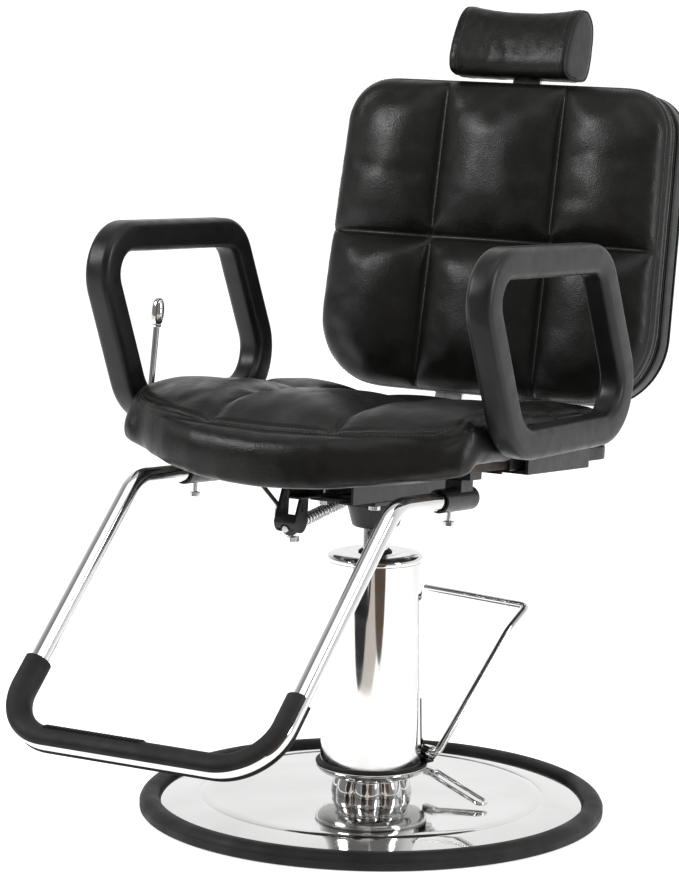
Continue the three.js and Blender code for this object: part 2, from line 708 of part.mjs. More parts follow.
add(seat, 'footrest_frame', chrome, bentRod([
  v3(SOCKET_X, -88, SOCKET_Z), legTop, legFoot, mirrored(legFoot), mirrored(legTop),
  v3(-SOCKET_X, -88, SOCKET_Z),
], [50, 66, 66, 50], FOOTREST_TUBE_RADIUS, 14, null, 7));

// A rubber channel round the foot bar and the lower legs, open on its lower outer side.
function footTread() {
  const share = 0.27;
  const legEnd = legFoot.clone().lerp(legTop, share);
  const route = roundedRoute([legEnd, legFoot, mirrored(legFoot), mirrored(legEnd)], [66, 66], 7);
  const legDirection = legFoot.clone().sub(legTop);
  const up = legDirection.cross(v3(1, 0, 0)).normalize();
  const steps = 9;
  const [openMiddle, openHalf] = [THREE.MathUtils.degToRad(222), THREE.MathUtils.degToRad(58)];
  const arc = (radius, reverse) => Array.from({ length: steps + 1 }, (_, i) => {
    const fraction = reverse ? 1 - i / steps : i / steps;
    const angle = openMiddle + openHalf + fraction * (2 * Math.PI - 2 * openHalf);
    return v2(radius * Math.cos(angle), radius * Math.sin(angle));
  });
  const boreRadius = FOOTREST_TUBE_RADIUS + GAP + 0.2;
  const section = new THREE.Shape([...arc(TREAD_RADIUS, false), ...arc(boreRadius, true)]);
  return swept(section, new Route(route, up));
}

add(seat, 'foot_tread', rubber, footTread());

// ---- Recline hinge and back arms --------------------------------------------------------------

const EYE_RADIUS = 13;
const EAR_THICKNESS = 5;
const pivotInSeat = seenFrom(seat, RECLINE_PIVOT);

// Two ears on a plate behind the rear cross bar.
function hingeBracket(side) {
  const plateY = REAR_BAR_Y[1] + GAP;
  const earAt = BACK_ARM_WIDTH / 2 + GAP;
  const { y, z } = pivotInSeat;
  const ear = new THREE.Shape();
  ear.moveTo(plateY, 30);
  ear.lineTo(y - 3, z - EYE_RADIUS);
  ear.absarc(y, z, EYE_RADIUS, -Math.PI / 2, 2.4, false);
  ear.lineTo(206, CROSS_BAR_TOP_Z);
  ear.lineTo(plateY, CROSS_BAR_TOP_Z);
  const middle = side * BACK_ARM_X;
  const ears = [-1, 1].map((end) => {
    const near = middle + end * earAt;
    const far = near + end * EAR_THICKNESS;
    return sideProfile(ear, Math.min(near, far), Math.max(near, far));
  });
  const reach = earAt + EAR_THICKNESS;
  const plate = box(v3(middle - reach, plateY, 30), v3(middle + reach, plateY + 5, CROSS_BAR_TOP_Z));
  const hole = rod(v3(middle - 40, y, z), v3(middle + 40, y, z), HINGE_PIN_RADIUS + GAP);
  return cut(join(plate, ...ears), hole);
}

function hingePin(side) {
  const { y, z } = RECLINE_PIVOT;
  const inner = side * (BACK_ARM_X - BACK_ARM_WIDTH / 2 - EAR_THICKNESS - 3);
  const outer = side * (BACK_ARM_X + BACK_ARM_WIDTH / 2 + EAR_THICKNESS + 1);
  return join(rod(v3(inner, y, z), v3(outer, y, z), HINGE_PIN_RADIUS),
    rod(v3(outer, y, z), v3(outer + side * 6, y, z), 10, 6));
}

const STRAP_THICKNESS = 6;
const strapDepth = BACK_DEPTH - 12.4; // the strap's middle, behind the backrest's front face

function inChair(group, point) {
  group.updateMatrixWorld(true);
  return group.localToWorld(point.clone());
}

const crankPin = v3(CRANK_X,
  RECLINE_PIVOT.y + CRANK_LENGTH * Math.sin(CRANK_REST_ANGLE),
  RECLINE_PIVOT.z - CRANK_LENGTH * Math.cos(CRANK_REST_ANGLE));

function crankPlate() {
  const lever = new THREE.Shape();
  const { y, z } = RECLINE_PIVOT;
  const across = v2(Math.cos(CRANK_REST_ANGLE), Math.sin(CRANK_REST_ANGLE));
  lever.moveTo(y - EYE_RADIUS * across.x * 0.8, z - EYE_RADIUS * across.y * 0.8);
  lever.lineTo(crankPin.y - 9 * across.x, crankPin.z - 9 * across.y);
  const from = Math.PI + CRANK_REST_ANGLE;
  lever.absarc(crankPin.y, crankPin.z, 9, from, from + Math.PI, false);
  lever.lineTo(y + EYE_RADIUS * across.x * 0.8, z + EYE_RADIUS * across.y * 0.8);
  return sideProfile(lever, CRANK_X - 3, CRANK_X + 3);
}

// A flat strap with a rolled eye. The right one also has the crank that works the recline lock.
function backArm(side) {
  const middle = side * BACK_ARM_X;
  const half = BACK_ARM_WIDTH / 2;
  const { y, z } = RECLINE_PIVOT;
  const inPlane = (p) => v3(middle, p.y, p.z);
  const bend = inPlane(inChair(back, v3(0, strapDepth, -45)));
  const top = inPlane(inChair(back, v3(0, strapDepth, 150)));
  const route = roundedRoute([v3(middle, y + 9, z - 2), bend, top], [26]);
  const section = new THREE.Shape([
    v2(-STRAP_THICKNESS / 2, -half), v2(STRAP_THICKNESS / 2, -half),
    v2(STRAP_THICKNESS / 2, half), v2(-STRAP_THICKNESS / 2, half),
  ]);
  const strap = swept(section, new Route(route, v3(1, 0, 0)));
  const eye = rod(v3(middle - half, y, z), v3(middle + half, y, z), EYE_RADIUS);
  const hole = rod(v3(middle - 30, y, z), v3(middle + 30, y, z), HINGE_PIN_RADIUS + GAP);
  if (side > 0) {
    return cut(join(strap, eye), hole);
  }
  const pin = rod(crankPin.clone().add(v3(-11, 0, 0)), crankPin.clone().add(v3(11, 0, 0)), 3.5, 16);
  return cut(join(strap, eye, crankPlate(), pin), hole);
}

for (const [name, side] of [['right', -1], ['left', 1]]) {
  add(seat, `hinge_bracket_${name}`, blackPaint, hingeBracket(side));
  add(chair, `hinge_pin_${name}`, zinc, hingePin(side));
  add(chair, `back_arm_${name}`, zinc, backArm(side));
}

// ---- Recline lock: bracket, sleeve, rod and spring ----------------------------------------------

const lockPoint = v3(CRANK_X, -97, 370);
const rodDirection = crankPin.clone().sub(lockPoint).normalize();
const alongRod = (distance) => lockPoint.clone().addScaledVector(rodDirection, distance);
const STRUT_ROD_RADIUS = 4.5;

// A channel that hangs from the front cross bar, open below and behind, with slotted cheeks.
function reclineBracket() {
  const [half, wall, bottomZ] = [15.5, 3.5, -40];
  const [frontY, rearY] = [-116, -87];
  const cheek = new THREE.Shape();
  cheek.moveTo(frontY, RAIL_TOP_Z);
  cheek.absarc((frontY + rearY) / 2, bottomZ + 14, (rearY - frontY) / 2, Math.PI, 2 * Math.PI, false);
  cheek.lineTo(rearY, RAIL_TOP_Z);
  const block = sideProfile(cheek, CRANK_X - half, CRANK_X + half);
  const inside = box(v3(CRANK_X - half + wall, frontY + wall, bottomZ - 20),
    v3(CRANK_X + half - wall, rearY + 5, RAIL_TOP_Z + 5));
  const middleY = (frontY + rearY) / 2;
  const slots = [[-6, 2, 24], [6, 2, 24], [0, -14, -4]].map(([offset, low, high]) => box(
    v3(CRANK_X - 30, middleY + offset - 2.4, low), v3(CRANK_X + 30, middleY + offset + 2.4, high)));
  const rodHole = rod(seenFrom(seat, alongRod(-40)), seenFrom(seat, alongRod(40)), STRUT_ROD_RADIUS + 2);
  return cut(block, inside, ...slots, rodHole);
}

add(seat, 'recline_bracket', blackPaint, reclineBracket());

const SLEEVE_HALF_LENGTH = 11;
const SLEEVE_RADIUS = 11;
const SET_SCREW_RADIUS = 3;

function tubeAlongRod(from, to, outerRadius, innerRadius) {
  const outer = rod(alongRod(from), alongRod(to), outerRadius);
  return cut(outer, rod(alongRod(from - 5), alongRod(to + 5), innerRadius, 16));
}

const setScrewAt = (drop) => lockPoint.clone().add(v3(0, 0, -drop));

function lockSleeve() {
  const half = SLEEVE_HALF_LENGTH;
  const sleeve = tubeAlongRod(-half, half, SLEEVE_RADIUS, STRUT_ROD_RADIUS + 0.5);
  return cut(sleeve, rod(setScrewAt(0), setScrewAt(30), SET_SCREW_RADIUS + GAP, 12));
}

add(chair, 'lock_sleeve', blackPaint, lockSleeve());
add(chair, 'lock_set_screw', zinc, hexBolt(setScrewAt(20), setScrewAt(13.5),
  setScrewAt(STRUT_ROD_RADIUS + GAP), SET_SCREW_RADIUS, 8));

const SPRING_LENGTH = 128;
const STRUT_TRAVEL = 33; // the room the rod's collar has before it meets the spring
const SPRING_RADIUS = 8;

add(chair, 'strut_spring', zinc, tubeAlongRod(SLEEVE_HALF_LENGTH + GAP,
  SLEEVE_HALF_LENGTH + SPRING_LENGTH, SPRING_RADIUS, STRUT_ROD_RADIUS + 0.6));

// The rod carries a collar for its spring and ends in a slotted fork round the crank's pin.
function strutRod() {
  const reach = lockPoint.distanceTo(crankPin);
  const shaft = rod(alongRod(-20), alongRod(reach - 18), STRUT_ROD_RADIUS, 16);
  const collarFrom = SLEEVE_HALF_LENGTH + SPRING_LENGTH + STRUT_TRAVEL;
  const collar = rod(alongRod(collarFrom), alongRod(collarFrom + 6), SPRING_RADIUS, 20);
  const pitch = Math.asin(rodDirection.z);
  const place = (geometry) => geometry.rotateX(pitch).translate(crankPin.x, crankPin.y, crankPin.z);
  const fork = place(box(v3(-9, -22, -11), v3(9, 9, 11)));
  const crankSlot = place(box(v3(-4, -14, -30), v3(4, 30, 30)));
  const pinSlot = place(box(v3(-20, -5.4, -8), v3(20, 5.4, 8)));
  return cut(join(shaft, collar, fork), crankSlot, pinSlot);
}

add(chair, 'strut_rod', steel, strutRod());

// ---- Recline release lever ----------------------------------------------------------------------

const LEVER_SHAFT = v3(0, -89, 449);
const LEVER_X = -285;
const KNOB_BASE = v3(LEVER_X, -66, 596);
const LEVER_ROD_RADIUS = 4;

add(chair, 'release_lever', chrome, bentRod([
  KNOB_BASE, v3(LEVER_X, LEVER_SHAFT.y, LEVER_SHAFT.z), v3(-150, LEVER_SHAFT.y, LEVER_SHAFT.z),
  v3(-88, -90, 390), v3(-88, -92, 378),
], [16, 22, 10], LEVER_ROD_RADIUS, 10));

function knob() {
  const outline = turned([
    [0, 0.3], [5.5, 0.3], [6.5, 2], [8, 10], [8, 25], [7, 31], [4.5, 35.5], [0, 37],
  ], 20);
  const leverDirection = KNOB_BASE.clone().sub(v3(LEVER_X, LEVER_SHAFT.y, LEVER_SHAFT.z)).normalize();
  const turn = new THREE.Quaternion().setFromUnitVectors(v3(0, 0, 1), leverDirection);
  return outline.applyQuaternion(turn).translate(KNOB_BASE.x, KNOB_BASE.y, KNOB_BASE.z);
}

add(chair, 'release_knob', chrome, knob());

// ---- Backrest, in its own leaning frame ---------------------------------------------------------

// A rounded panel facing -Y between two depths, narrowed by an inset, with an optional soft edge.
function backPanel(frontDepth, rearDepth, inset, edge = 0) {
  const half = BACK_HALF_WIDTH - inset - edge;
  const [low, high] = [inset + edge, BACK_HEIGHT - inset - edge];
  const wide = half + BACK_FLARE;
  const corners = [v2(-wide, low), v2(wide, low), v2(half, high), v2(-half, high)];
  const shrink = inset + edge;
  const shape = new THREE.Shape(roundedOutline(corners, [95, 95, 62, 62].map((r) => r - shrink), 7));
  const panel = new THREE.ExtrudeGeometry(shape, {
    depth: rearDepth - frontDepth - 2 * edge,
    bevelEnabled: edge > 0,
    bevelThickness: edge,
    bevelSize: edge,
    bevelSegments: 2,
  });
  return facingOut(panel.rotateX(Math.PI / 2).translate(0, rearDepth - edge, 0));
}

const BOARD_DEPTH = [50, 62];
const STEM_HALF_WIDTH = 20;
const STEM_TOP = 486;
const STEM_BOTTOM = 292;

function backCover() {
  const [front, rear] = [BOARD_DEPTH[1] + GAP, BACK_DEPTH];
  const pocketRear = strapDepth + STRAP_THICKNESS / 2 + 0.5;
  const armPockets = [-1, 1].map((side) => box(
    v3(side * BACK_ARM_X - BACK_ARM_WIDTH / 2 - 1, front - 5, -20),
    v3(side * BACK_ARM_X + BACK_ARM_WIDTH / 2 + 1, pocketRear, 152)));
  const stemPocket = box(v3(-STEM_HALF_WIDTH - 1, front - 5, STEM_BOTTOM - 2),
    v3(STEM_HALF_WIDTH + 1, pocketRear, BACK_HEIGHT + 20));
  return cut(backPanel(front, rear, 3, 4), ...armPockets, stemPocket);
}

add(back, 'back_cushion', leather, backPanel(0, BOARD_DEPTH[0], 0, 12));
add(back, 'back_board', plywood, backPanel(BOARD_DEPTH[0] + GAP, BOARD_DEPTH[1], 8));
add(back, 'back_cover', leather, backCover());

// ---- Headrest -----------------------------------------------------------------------------------

const PILLOW_HALF_WIDTH = 86;

// A pillow with a hollowed front, its outline in depth and height, and a pocket for its stem.
function pillow() {
  const outline = [
    v2(1, 427), v2(20, 419), v2(50, 419), v2(67, 432), v2(71, 464), v2(67, 496), v2(50, 512),
    v2(24, 514), v2(3, 506), v2(-2, 494), v2(8, 465), v2(-2, 441),
  ];
  const curve = new THREE.CatmullRomCurve3(outline.map((p) => v3(p.x, p.y, 0)), true);
  const shape = new THREE.Shape(curve.getSpacedPoints(28).slice(0, -1).map((p) => v2(p.x, p.y)));
  const body = sideProfile(shape, -PILLOW_HALF_WIDTH, PILLOW_HALF_WIDTH, 3);
  const stemPocket = box(v3(-STEM_HALF_WIDTH - 0.6, strapDepth - 3.5, 400),
    v3(STEM_HALF_WIDTH + 0.6, strapDepth + 3.5, STEM_TOP + 1));
  return cut(body, stemPocket);
}

add(back, 'headrest_stem', steel, box(
  v3(-STEM_HALF_WIDTH, strapDepth - STRAP_THICKNESS / 2 + 0.2, STEM_BOTTOM),
  v3(STEM_HALF_WIDTH, strapDepth + STRAP_THICKNESS / 2 - 0.2, STEM_TOP)));
add(back, 'headrest_pillow', leather, pillow());

export default chair;
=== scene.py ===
"""Looks of a hydraulic barber chair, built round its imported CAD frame. Metres, +Z up."""

import json
import math

import bmesh
import bpy
import numpy as np
from mathutils import Matrix, Vector
from mathutils.bvhtree import BVHTree


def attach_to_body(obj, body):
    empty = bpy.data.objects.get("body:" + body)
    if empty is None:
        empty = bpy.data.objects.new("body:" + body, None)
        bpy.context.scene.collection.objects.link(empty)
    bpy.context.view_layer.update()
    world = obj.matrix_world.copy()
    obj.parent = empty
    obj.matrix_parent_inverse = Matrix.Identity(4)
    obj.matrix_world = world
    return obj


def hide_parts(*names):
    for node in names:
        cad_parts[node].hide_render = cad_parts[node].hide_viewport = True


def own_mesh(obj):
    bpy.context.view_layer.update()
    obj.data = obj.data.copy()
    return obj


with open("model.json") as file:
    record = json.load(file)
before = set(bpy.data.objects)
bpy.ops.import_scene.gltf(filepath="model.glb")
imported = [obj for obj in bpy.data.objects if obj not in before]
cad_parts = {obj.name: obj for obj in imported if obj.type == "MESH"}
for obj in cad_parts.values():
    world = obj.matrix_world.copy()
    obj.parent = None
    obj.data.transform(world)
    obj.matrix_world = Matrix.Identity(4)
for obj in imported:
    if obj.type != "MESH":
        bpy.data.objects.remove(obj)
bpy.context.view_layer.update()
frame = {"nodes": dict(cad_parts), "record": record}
nodes = frame["nodes"]
scene = bpy.context.scene
MM = 0.001

# ---- The CAD model's own frames and shared dimensions, in millimetres ----

SEAT = Matrix.Translation((0, 0, 0.395)) @ Matrix.Rotation(math.radians(-4.5), 4, "X")
BACK = Matrix.Translation((0, 0.24, 0.5)) @ Matrix.Rotation(math.radians(-11.5), 4, "X")
PUMP_DEGREES = -11
PUMP = Matrix.Rotation(math.radians(PUMP_DEGREES), 4, "Z")
CHAIR = Matrix.Identity(4)


def to_world(matrix, points):
    """Points given in a frame in millimetres, as chair points in metres."""
    m = np.array(matrix)
    return np.asarray(points, float) * MM @ m[:3, :3].T + m[:3, 3]


def to_local(matrix, points):
    """Chair points in metres, as points in a frame in millimetres."""
    m = np.array(matrix)
    return (np.asarray(points, float) - m[:3, 3]) @ m[:3, :3] / MM


def linked(name, data):
    """A new object in the scene."""
    made = bpy.data.objects.new(name, data)
    scene.collection.objects.link(made)
    return made


def add_node(tree, kind, **inputs):
    """A new shader node, with each socket named here linked or set."""
    made = tree.nodes.new("ShaderNode" + kind)
    for key, value in inputs.items():
        socket = made.inputs[key.replace("_", " ")]
        if isinstance(value, bpy.types.NodeSocket):
            tree.links.new(value, socket)
        else:
            socket.default_value = value
    return made


# ---- Camera, floor and light ----


def make_camera():
    azimuth, elevation, roll = math.radians(30), math.radians(8.88), math.radians(0.89)
    distance, shift_right, shift_up = 4.2593, -0.03959, 0.46639
    back = Vector((
        math.sin(azimuth) * math.cos(elevation),
        -math.cos(azimuth) * math.cos(elevation),
        math.sin(elevation),
    ))
    right = Vector((math.cos(azimuth), math.sin(azimuth), 0))
    up = back.cross(right)
    rolled_right = math.cos(roll) * right + math.sin(roll) * up
    rolled_up = math.cos(roll) * up - math.sin(roll) * right
    data = bpy.data.cameras.new("camera")
    data.sensor_width = 36
    data.lens = 138.56
    camera = linked("camera", data)
    turn = Matrix((rolled_right, rolled_up, back)).transposed()
    place = rolled_right * shift_right + rolled_up * shift_up + back * distance
    camera.matrix_world = Matrix.Translation(place) @ turn.to_4x4()
    scene.camera = camera


def make_floor():
    bpy.ops.mesh.primitive_circle_add(vertices=96, radius=70, fill_type="NGON")
    floor = bpy.context.object
    floor.name = "floor"
    floor.location.z = -0.0004
    made = Shading("floor", (0.93, 0.93, 0.93), 0.8, Emission_Color=(1, 1, 1, 1),
                   Emission_Strength=0.56)
    floor.data.materials.append(made.material)


def area_light(name, place, target, size, power):
    data = bpy.data.lights.new(name, "AREA")
    data.shape = "RECTANGLE"
    data.size, data.size_y = size
    data.energy = power
    light = linked(name, data)
    light.location = place
    light.rotation_euler = (Vector(target) - Vector(place)).to_track_quat("-Z", "Y").to_euler()


def make_world():
    """A bright wall behind the chair that falls off to a darker room in front of it."""
    world = bpy.data.worlds.new("studio")
    world.use_nodes = True
    tree = world.node_tree
    direction = add_node(tree, "TexCoord").outputs["Generated"]
    forward = add_node(tree, "SeparateXYZ", Vector=direction).outputs["Y"]
    spread = add_node(tree, "MapRange", Value=forward, From_Min=-0.35, From_Max=0.75,
                      To_Min=0.26, To_Max=1.1)
    spread.interpolation_type = "SMOOTHSTEP"
    background = tree.nodes["Background"]
    background.inputs["Color"].default_value = (1, 1, 1, 1)
    tree.links.new(spread.outputs["Result"], background.inputs["Strength"])
    scene.world = world


def oval_card(name, azimuth, distance, width, low, high, color):
    """An oval card standing in front of the chair, which shows only in what the chrome reflects."""
    angle = math.radians(azimuth)
    middle = Vector((math.sin(angle), -math.cos(angle), 0)) * distance
    along = Vector((math.cos(angle), math.sin(angle), 0)) * width / 2
    count = 40
    corners = []
    for i in range(count):
        turn = 2 * math.pi * i / count
        corner = middle + along * math.cos(turn)
        corner.z = (low + high) / 2 + (high - low) / 2 * math.sin(turn)
        corners.append(corner)
    made = Shading(name, color, 0.9)
    card = mesh_piece(name, corners, [range(count)], made.material)
    card.visible_camera = False
    card.visible_shadow = False
    card.visible_diffuse = False


def make_light():
    make_world()
    area_light("overhead", (0.55, -0.75, 2.7), (0.05, -0.1, 0.5), (2.3, 2.0), 21)
    area_light("key", (-1.9, -1.8, 2.1), (0, 0.2, 0.7), (1.1, 0.8), 56)
    area_light("right_strip", (2.3, -0.1, 1.4), (0, 0, 0.7), (0.4, 1.5), 26)
    oval_card("card_left", -2, 0.8, 0.5, 0.03, 0.52, (0.012, 0.011, 0.012))
    oval_card("card_right", 42, 0.8, 0.4, 0.07, 0.5, (0.09, 0.06, 0.04))
    oval_card("card_wide", 12, 0.95, 1.5, -0.02, 0.7, (0.55, 0.5, 0.46))
    scene.view_settings.view_transform = "Standard"


# ---- Materials ----


NOISE_LOW, NOISE_HIGH = 0.3, 0.7  # the part of a noise's range that a finish spreads out


class Shading:
    """A material under construction, with the few node patterns that the finishes share."""

    def __init__(self, name, color, roughness, metallic=0.0, **inputs):
        self.material = bpy.data.materials.new(name)
        self.material.use_nodes = True
        self.tree = self.material.node_tree
        self.shader = self.tree.nodes["Principled BSDF"]
        self.shader.inputs["Base Color"].default_value = (*color, 1)
        self.shader.inputs["Roughness"].default_value = roughness
        self.shader.inputs["Metallic"].default_value = metallic
        for key, value in inputs.items():
            self.shader.inputs[key.replace("_", " ")].default_value = value
        self.place = add_node(self.tree, "TexCoord").outputs["Object"]
        self.normal = None

    def link(self, output, name):
        self.tree.links.new(output, self.shader.inputs[name])

    def noise(self, scale, detail, stretch=None):
        place = self.place
        if stretch:
            place = add_node(self.tree, "Mapping", Scale=stretch, Vector=place).outputs["Vector"]
        return add_node(self.tree, "TexNoise", Scale=scale, Detail=detail,
                        Vector=place).outputs["Fac"]

    def cells(self, scale):
        node = add_node(self.tree, "TexVoronoi", Scale=scale, Vector=self.place)
        node.feature = "SMOOTH_F1"
        node.inputs["Smoothness"].default_value = 0.6
        return node.outputs["Distance"]

    def rough(self, value, low, high):
        spread = add_node(self.tree, "MapRange", Value=value, From_Min=NOISE_LOW,
                          From_Max=NOISE_HIGH, To_Min=low, To_Max=high)
        self.link(spread.outputs["Result"], "Roughness")

    def tint(self, value, dark, light):
        ramp = add_node(self.tree, "ValToRGB", Fac=value)
        for stop, place, color in zip(ramp.color_ramp.elements, (NOISE_LOW, NOISE_HIGH), (dark, light)):
            stop.position = place
            stop.color = (*color, 1)
        self.link(ramp.outputs["Color"], "Base Color")

    def bump(self, value, depth, strength):
        node = add_node(self.tree, "Bump", Strength=strength, Distance=depth, Height=value)
        if self.normal:
            self.tree.links.new(self.normal, node.inputs["Normal"])
        self.normal = node.outputs["Normal"]
        self.link(self.normal, "Normal")


def leather():
    s = Shading("leather", (0.005, 0.005, 0.005), 0.4, Specular_IOR_Level=0.24)
    s.tint(s.noise(5, 4), (0.0028, 0.0027, 0.0024), (0.0065, 0.0062, 0.0054))
    s.rough(s.noise(60, 4), 0.3, 0.44)
    s.bump(s.cells(620), 0.00035, 0.55)
    s.bump(s.noise(190, 5), 0.0006, 0.35)
    s.bump(s.noise(22, 3), 0.0022, 0.25)
    return s.material


def chrome():
    s = Shading("chrome", (0.66, 0.66, 0.655), 0.06, 1.0)
    s.tint(s.noise(9, 2), (0.62, 0.62, 0.615), (0.7, 0.7, 0.695))
    s.rough(s.noise(35, 5), 0.035, 0.1)
    s.bump(s.noise(14, 1), 0.0003, 0.1)
    return s.material


def zinc():
    s = Shading("zinc", (0.72, 0.73, 0.74), 0.3, 1.0)
    s.tint(s.noise(40, 3), (0.6, 0.61, 0.62), (0.72, 0.73, 0.74))
    s.rough(s.noise(60, 3), 0.16, 0.3)
    s.bump(s.noise(300, 2), 0.00006, 0.1)
    return s.material


def steel():
    s = Shading("steel", (0.5, 0.51, 0.52), 0.35, 1.0)
    s.tint(s.noise(60, 4), (0.34, 0.34, 0.35), (0.6, 0.61, 0.62))
    s.rough(s.noise(140, 3), 0.28, 0.5)
    s.bump(s.noise(260, 3, (1, 1, 0.15)), 0.0003, 0.3)
    return s.material


def cast_iron():
    s = Shading("cast_iron", (0.06, 0.06, 0.062), 0.7, 0.7)
    s.tint(s.noise(80, 5), (0.03, 0.03, 0.031), (0.1, 0.095, 0.09))
    s.rough(s.noise(40, 4), 0.6, 0.85)
    s.bump(s.noise(300, 4), 0.0008, 0.5)
    return s.material


def black_paint():
    s = Shading("black_paint", (0.012, 0.012, 0.013), 0.32, Specular_IOR_Level=0.32)
    s.tint(s.noise(45, 4), (0.005, 0.005, 0.006), (0.014, 0.014, 0.015))
    s.rough(s.noise(70, 4), 0.24, 0.42)
    s.bump(s.noise(240, 2), 0.0005, 0.25)
    return s.material


def rubber():
    s = Shading("rubber", (0.008, 0.008, 0.008), 0.62, Specular_IOR_Level=0.25)
    s.tint(s.noise(30, 4), (0.005, 0.005, 0.005), (0.012, 0.012, 0.0115))
    s.rough(s.noise(25, 4), 0.5, 0.72)
    s.bump(s.noise(700, 3), 0.0003, 0.4)
    return s.material


def arm_foam():
    s = Shading("arm_foam", (0.006, 0.006, 0.006), 0.36, Specular_IOR_Level=0.28)
    s.tint(s.noise(12, 3), (0.004, 0.004, 0.0042), (0.008, 0.008, 0.008))
    s.rough(s.noise(50, 4), 0.3, 0.46)
    s.bump(s.noise(520, 3), 0.00022, 0.3)
    s.bump(s.noise(12, 2), 0.0015, 0.12)
    return s.material


def thread():
    s = Shading("thread", (0.03, 0.029, 0.026), 0.5)
    s.rough(s.noise(400, 2), 0.4, 0.6)
    s.bump(s.noise(2500, 2), 0.0002, 0.5)
    return s.material


def plywood():
    s = Shading("plywood", (0.5, 0.36, 0.22), 0.7)
    s.tint(s.noise(14, 5, (1, 8, 1)), (0.02, 0.014, 0.01), (0.055, 0.038, 0.026))
    s.bump(s.noise(90, 4, (1, 10, 1)), 0.0005, 0.3)
    return s.material


LEATHER, CHROME, ZINC, THREAD = leather(), chrome(), zinc(), thread()
BLACK_PAINT, RUBBER, ARM_FOAM = black_paint(), rubber(), arm_foam()
SLOT_MATERIAL = {
    "leather": LEATHER, "chrome": CHROME, "zinc": ZINC, "black_paint": BLACK_PAINT,
    "rubber": RUBBER, "arm_plastic": ARM_FOAM, "steel": steel(), "cast_iron": cast_iron(),
    "plywood": plywood(),
}

# ---- Mesh building ----


def mesh_piece(name, vertices, faces, material, sharp=35):
    """A mesh object with smooth faces and sharp edges above an angle in degrees."""
    mesh = bpy.data.meshes.new(name)
    mesh.from_pydata([tuple(v) for v in vertices], [], [tuple(int(i) for i in f) for f in faces])
    work = bmesh.new()
    work.from_mesh(mesh)
    bmesh.ops.remove_doubles(work, verts=work.verts, dist=1e-6)
    bmesh.ops.recalc_face_normals(work, faces=work.faces)
    work.to_mesh(mesh)
    work.free()
    mesh.shade_smooth()
    mesh.set_sharp_from_angle(angle=math.radians(sharp))
    mesh.materials.append(material)
    return linked(name, mesh)


def applied(piece):
    """The piece with its modifiers worked into its mesh."""
    evaluated = piece.evaluated_get(bpy.context.evaluated_depsgraph_get())
    mesh = bpy.data.meshes.new_from_object(evaluated)
    piece.modifiers.clear()
    piece.data = mesh
    return piece


def joined(name, pieces):
    """Several mesh pieces as one."""
    work = bmesh.new()
    materials = []
    for piece in pieces:
        material = piece.data.materials[0]
        if material not in materials:
            materials.append(material)
        start = len(work.faces)
        work.from_mesh(piece.data)
        work.faces.ensure_lookup_table()
        for face in work.faces[start:]:
            face.material_index = materials.index(material)
        bpy.data.objects.remove(piece)
    mesh = bpy.data.meshes.new(name)
    work.to_mesh(mesh)
    work.free()
    for material in materials:
        mesh.materials.append(material)
    return linked(name, mesh)


def ring_faces(rings, width, closed=False):
    """Quads between rings of points that follow each other in one list."""
    faces = []
    for i in range(rings if closed else rings - 1):
        after = (i + 1) % rings
        for j in range(width):
            k = (j + 1) % width
            faces.append([i * width + j, i * width + k, after * width + k, after * width + j])
    return faces


def end_faces(rings, width):
    """The first and the last ring, each as one face."""
    last = (rings - 1) * width
    return [list(range(width))[::-1], [last + j for j in range(width)]]


def lathe(name, profile, material, matrix=CHAIR, segments=160, sharp=35):
    """A solid of revolution about a frame's Z, from [radius, z] pairs in millimetres."""
    profile = [tuple(p) for p in profile]
    if profile[0][0] > 0:
        profile.append(profile[0])
    count = len(profile)
    vertices = []
    for i in range(segments):
        angle = 2 * math.pi * i / segments
        vertices += [(r * math.cos(angle), r * math.sin(angle), z) for r, z in profile]
    faces = []
    for i in range(segments):
        after = (i + 1) % segments
        for j in range(count - 1):
            quad = [i * count + j, after * count + j, after * count + j + 1, i * count + j + 1]
            if profile[j][0] == 0:
                quad.pop(1)
            elif profile[j + 1][0] == 0:
                quad.pop(2)
            faces.append(quad)
    return mesh_piece(name, to_world(matrix, vertices), faces, material, sharp)


def arc(centre, radius, start, end, steps):
    """Points of an arc in a profile, angles in degrees."""
    angles = np.radians(np.linspace(start, end, steps + 1))
    return [(centre[0] + radius * math.cos(a), centre[1] + radius * math.sin(a)) for a in angles]


def rounded_route(corners, radii, steps, closed=False):
    """The points of a route whose inner corners are rounded to the radii given."""
    corners = [np.array(c, float) for c in corners]
    count = len(corners)
    inner = range(count) if closed else range(1, count - 1)
    points = [] if closed else [corners[0]]
    for i, radius in zip(inner, radii):
        before = corners[i - 1] - corners[i]
        after = corners[(i + 1) % count] - corners[i]
        before, after = before / np.linalg.norm(before), after / np.linalg.norm(after)
        half = math.acos(np.clip(before @ after, -1, 1)) / 2
        bisector = (before + after) / np.linalg.norm(before + after)
        centre = corners[i] + bisector * radius / math.sin(half)
        start = corners[i] + before * radius / math.tan(half) - centre
        end = corners[i] + after * radius / math.tan(half) - centre
        sweep = math.pi - 2 * half
        for step in range(steps + 1):
            share = step / steps
            arm = math.sin((1 - share) * sweep) * start + math.sin(share * sweep) * end
            points.append(centre + arm / math.sin(sweep))
    if not closed:
        points.append(corners[-1])
    return np.array(points)


def distances_along(points):
    """How far along a route each of its points lies."""
    return np.concatenate([[0], np.cumsum(np.linalg.norm(np.diff(points, axis=0), axis=1))])


def resampled(points, count, closed=False):
    """The same route with a given number of points at even distances."""
    if closed:
        points = np.vstack([points, points[:1]])
    along = distances_along(points)
    wanted = np.linspace(0, along[-1], count, endpoint=not closed)
    return np.column_stack([np.interp(wanted, along, points[:, k]) for k in range(3)])


